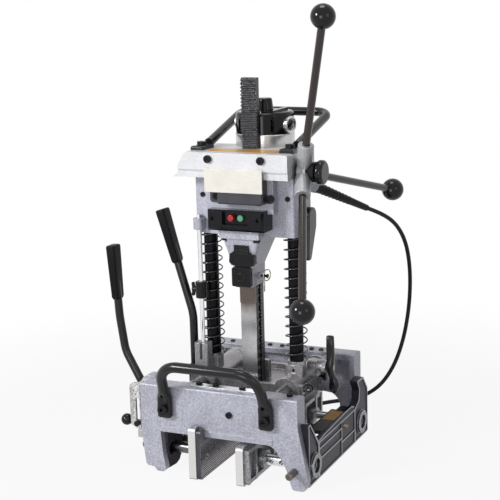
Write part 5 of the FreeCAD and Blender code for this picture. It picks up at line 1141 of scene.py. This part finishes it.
@dataclass
class Studio:
    """Floor, surroundings, lamps and the camera, in metres and degrees.

    A lamp's row gives its name, its place, the length of its side and its power in watts.
    """

    eye: Place = (0.7884, -1.7295, 0.7306)
    yaw: float = 23.0
    pitch: float = -11.79
    roll: float = -1.11
    lens: float = 89.934
    sensor: float = 36.0
    shift: tuple[float, float] = (-0.0794, -0.0085)
    ambient: float = 0.07
    floor_half: float = 12.0
    floor_grey: float = 0.5
    floor_roughness: float = 0.9
    floor_specular: float = 0.1
    bare: tuple[float, float] = (0.45, 1.1)
    whitened: float = 0.91
    aim: Place = (0, 0, 0.3)
    lamps: tuple[tuple[str, Place, float, float], ...] = (
        ("key", (-1.3, -1.7, 1.3), 0.5, 40), ("fill", (1.8, -1.0, 1.0), 0.8, 3),
        ("top", (0.0, 0.0, 2.0), 0.6, 8), ("front", (0.2, -2.4, 0.5), 0.9, 12))

    def camera(self) -> None:
        """Camera with its own turn and a small shift."""
        data = bpy.data.cameras.new("camera")
        data.sensor_width = self.sensor
        data.lens = self.lens
        data.shift_x, data.shift_y = self.shift
        turned = Matrix.Translation(self.eye)
        for angle, axis in ((self.yaw, "Z"), (90 + self.pitch, "X"), (self.roll, "Z")):
            turned = turned @ Matrix.Rotation(math.radians(angle), 4, axis)
        made = link("camera", data)
        made.matrix_world = turned
        bpy.context.scene.camera = made

    @staticmethod
    def seen(shader: Shader) -> Value:
        """One for rays from the camera and for mirror-like rays, nothing for the light on the object."""
        camera, glossy, through = [shader.node("LightPath", out=name)
                                   for name in ("Is Camera Ray", "Is Glossy Ray", "Is Transmission Ray")]
        return (camera + glossy + through) > 0.5

    def floor(self) -> None:
        """Wide pale floor that keeps the object's shadow and turns white away from it."""
        mesh = bmesh.new()
        bmesh.ops.create_grid(mesh, x_segments=1, y_segments=1, size=self.floor_half)
        data = bpy.data.meshes.new("floor")
        mesh.to_mesh(data)
        mesh.free()
        made = link("floor", data)
        shader = Surface("floor")
        shader.set("Base Color", (self.floor_grey, self.floor_grey, self.floor_grey))
        shader.set("Roughness", self.floor_roughness)
        shader.set("Specular IOR Level", self.floor_specular)
        white = shader.node("Emission", None, {"Color": (1.0, 1.0, 1.0), "Strength": 1.0})
        plain = Value(shader, shader.principled.outputs[0])
        reach = shader.node("VectorMath", {"operation": "LENGTH"}, {0: shader.place()}, "Value")
        share = reach.fade(*self.bare) * (1 - self.whitened) + self.whitened
        shader.feed(shader.end.inputs["Surface"],
                    shader.node("MixShader", None, {0: self.seen(shader) * share, 1: plain, 2: white}))
        data.materials.append(shader.material)

    def world(self) -> None:
        """Even white surroundings, which light the object only a little."""
        world = bpy.data.worlds.new("surroundings")
        world.use_nodes = True
        bpy.context.scene.world = world
        shader = Shader(world.node_tree)
        back = shader.tree.nodes["Background"]
        shader.feed(back.inputs["Color"], (1.0, 1.0, 1.0))
        shader.feed(back.inputs["Strength"], self.seen(shader) * (1.0 - self.ambient) + self.ambient)

    def build(self) -> None:
        """Sets everything up, with square lamps that face the object."""
        bpy.context.scene.view_settings.view_transform = "Standard"
        self.camera()
        self.floor()
        self.world()
        for name, place, size, power in self.lamps:
            data = bpy.data.lights.new(name, "AREA")
            data.size, data.energy = size, power
            made = link(name, data)
            made.location = place
            made.rotation_euler = (Vector(self.aim) - Vector(place)).to_track_quat("-Z", "Y").to_euler()


OWN_FINISHES = {"rod_bushes": "dull_ring", "right_jaw_rods": "dark_ended_rod", "left_jaw_rods": "dull_rod",
                "guide_rails": "dull_rod", "index_pin": "brown_pin"}


@dataclass
class Castings:
    """Machined and painted nodes that keep their own meshes."""

    def build(self) -> None:
        """Dresses every node in its own finish, or in the one of its slot."""
        for part in FRAME["record"]["subparts"]:
            name = part["node"]
            dress(FRAME["nodes"][name], OWN_FINISHES.get(name, part["material_slot"]))


def main() -> None:
    """Builds the model in order."""
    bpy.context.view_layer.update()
    Studio().build()
    Castings().build()
    MainsCord().build()
    Springs().build()
    LeverGrips().build()
    FrontHandle().build()
    SlideLock().build()
    BaseDetails().build()
    HeadDetails().build()


if __name__ == "__main__":
    logging.basicConfig(level=logging.INFO, format="%(message)s")
    main()
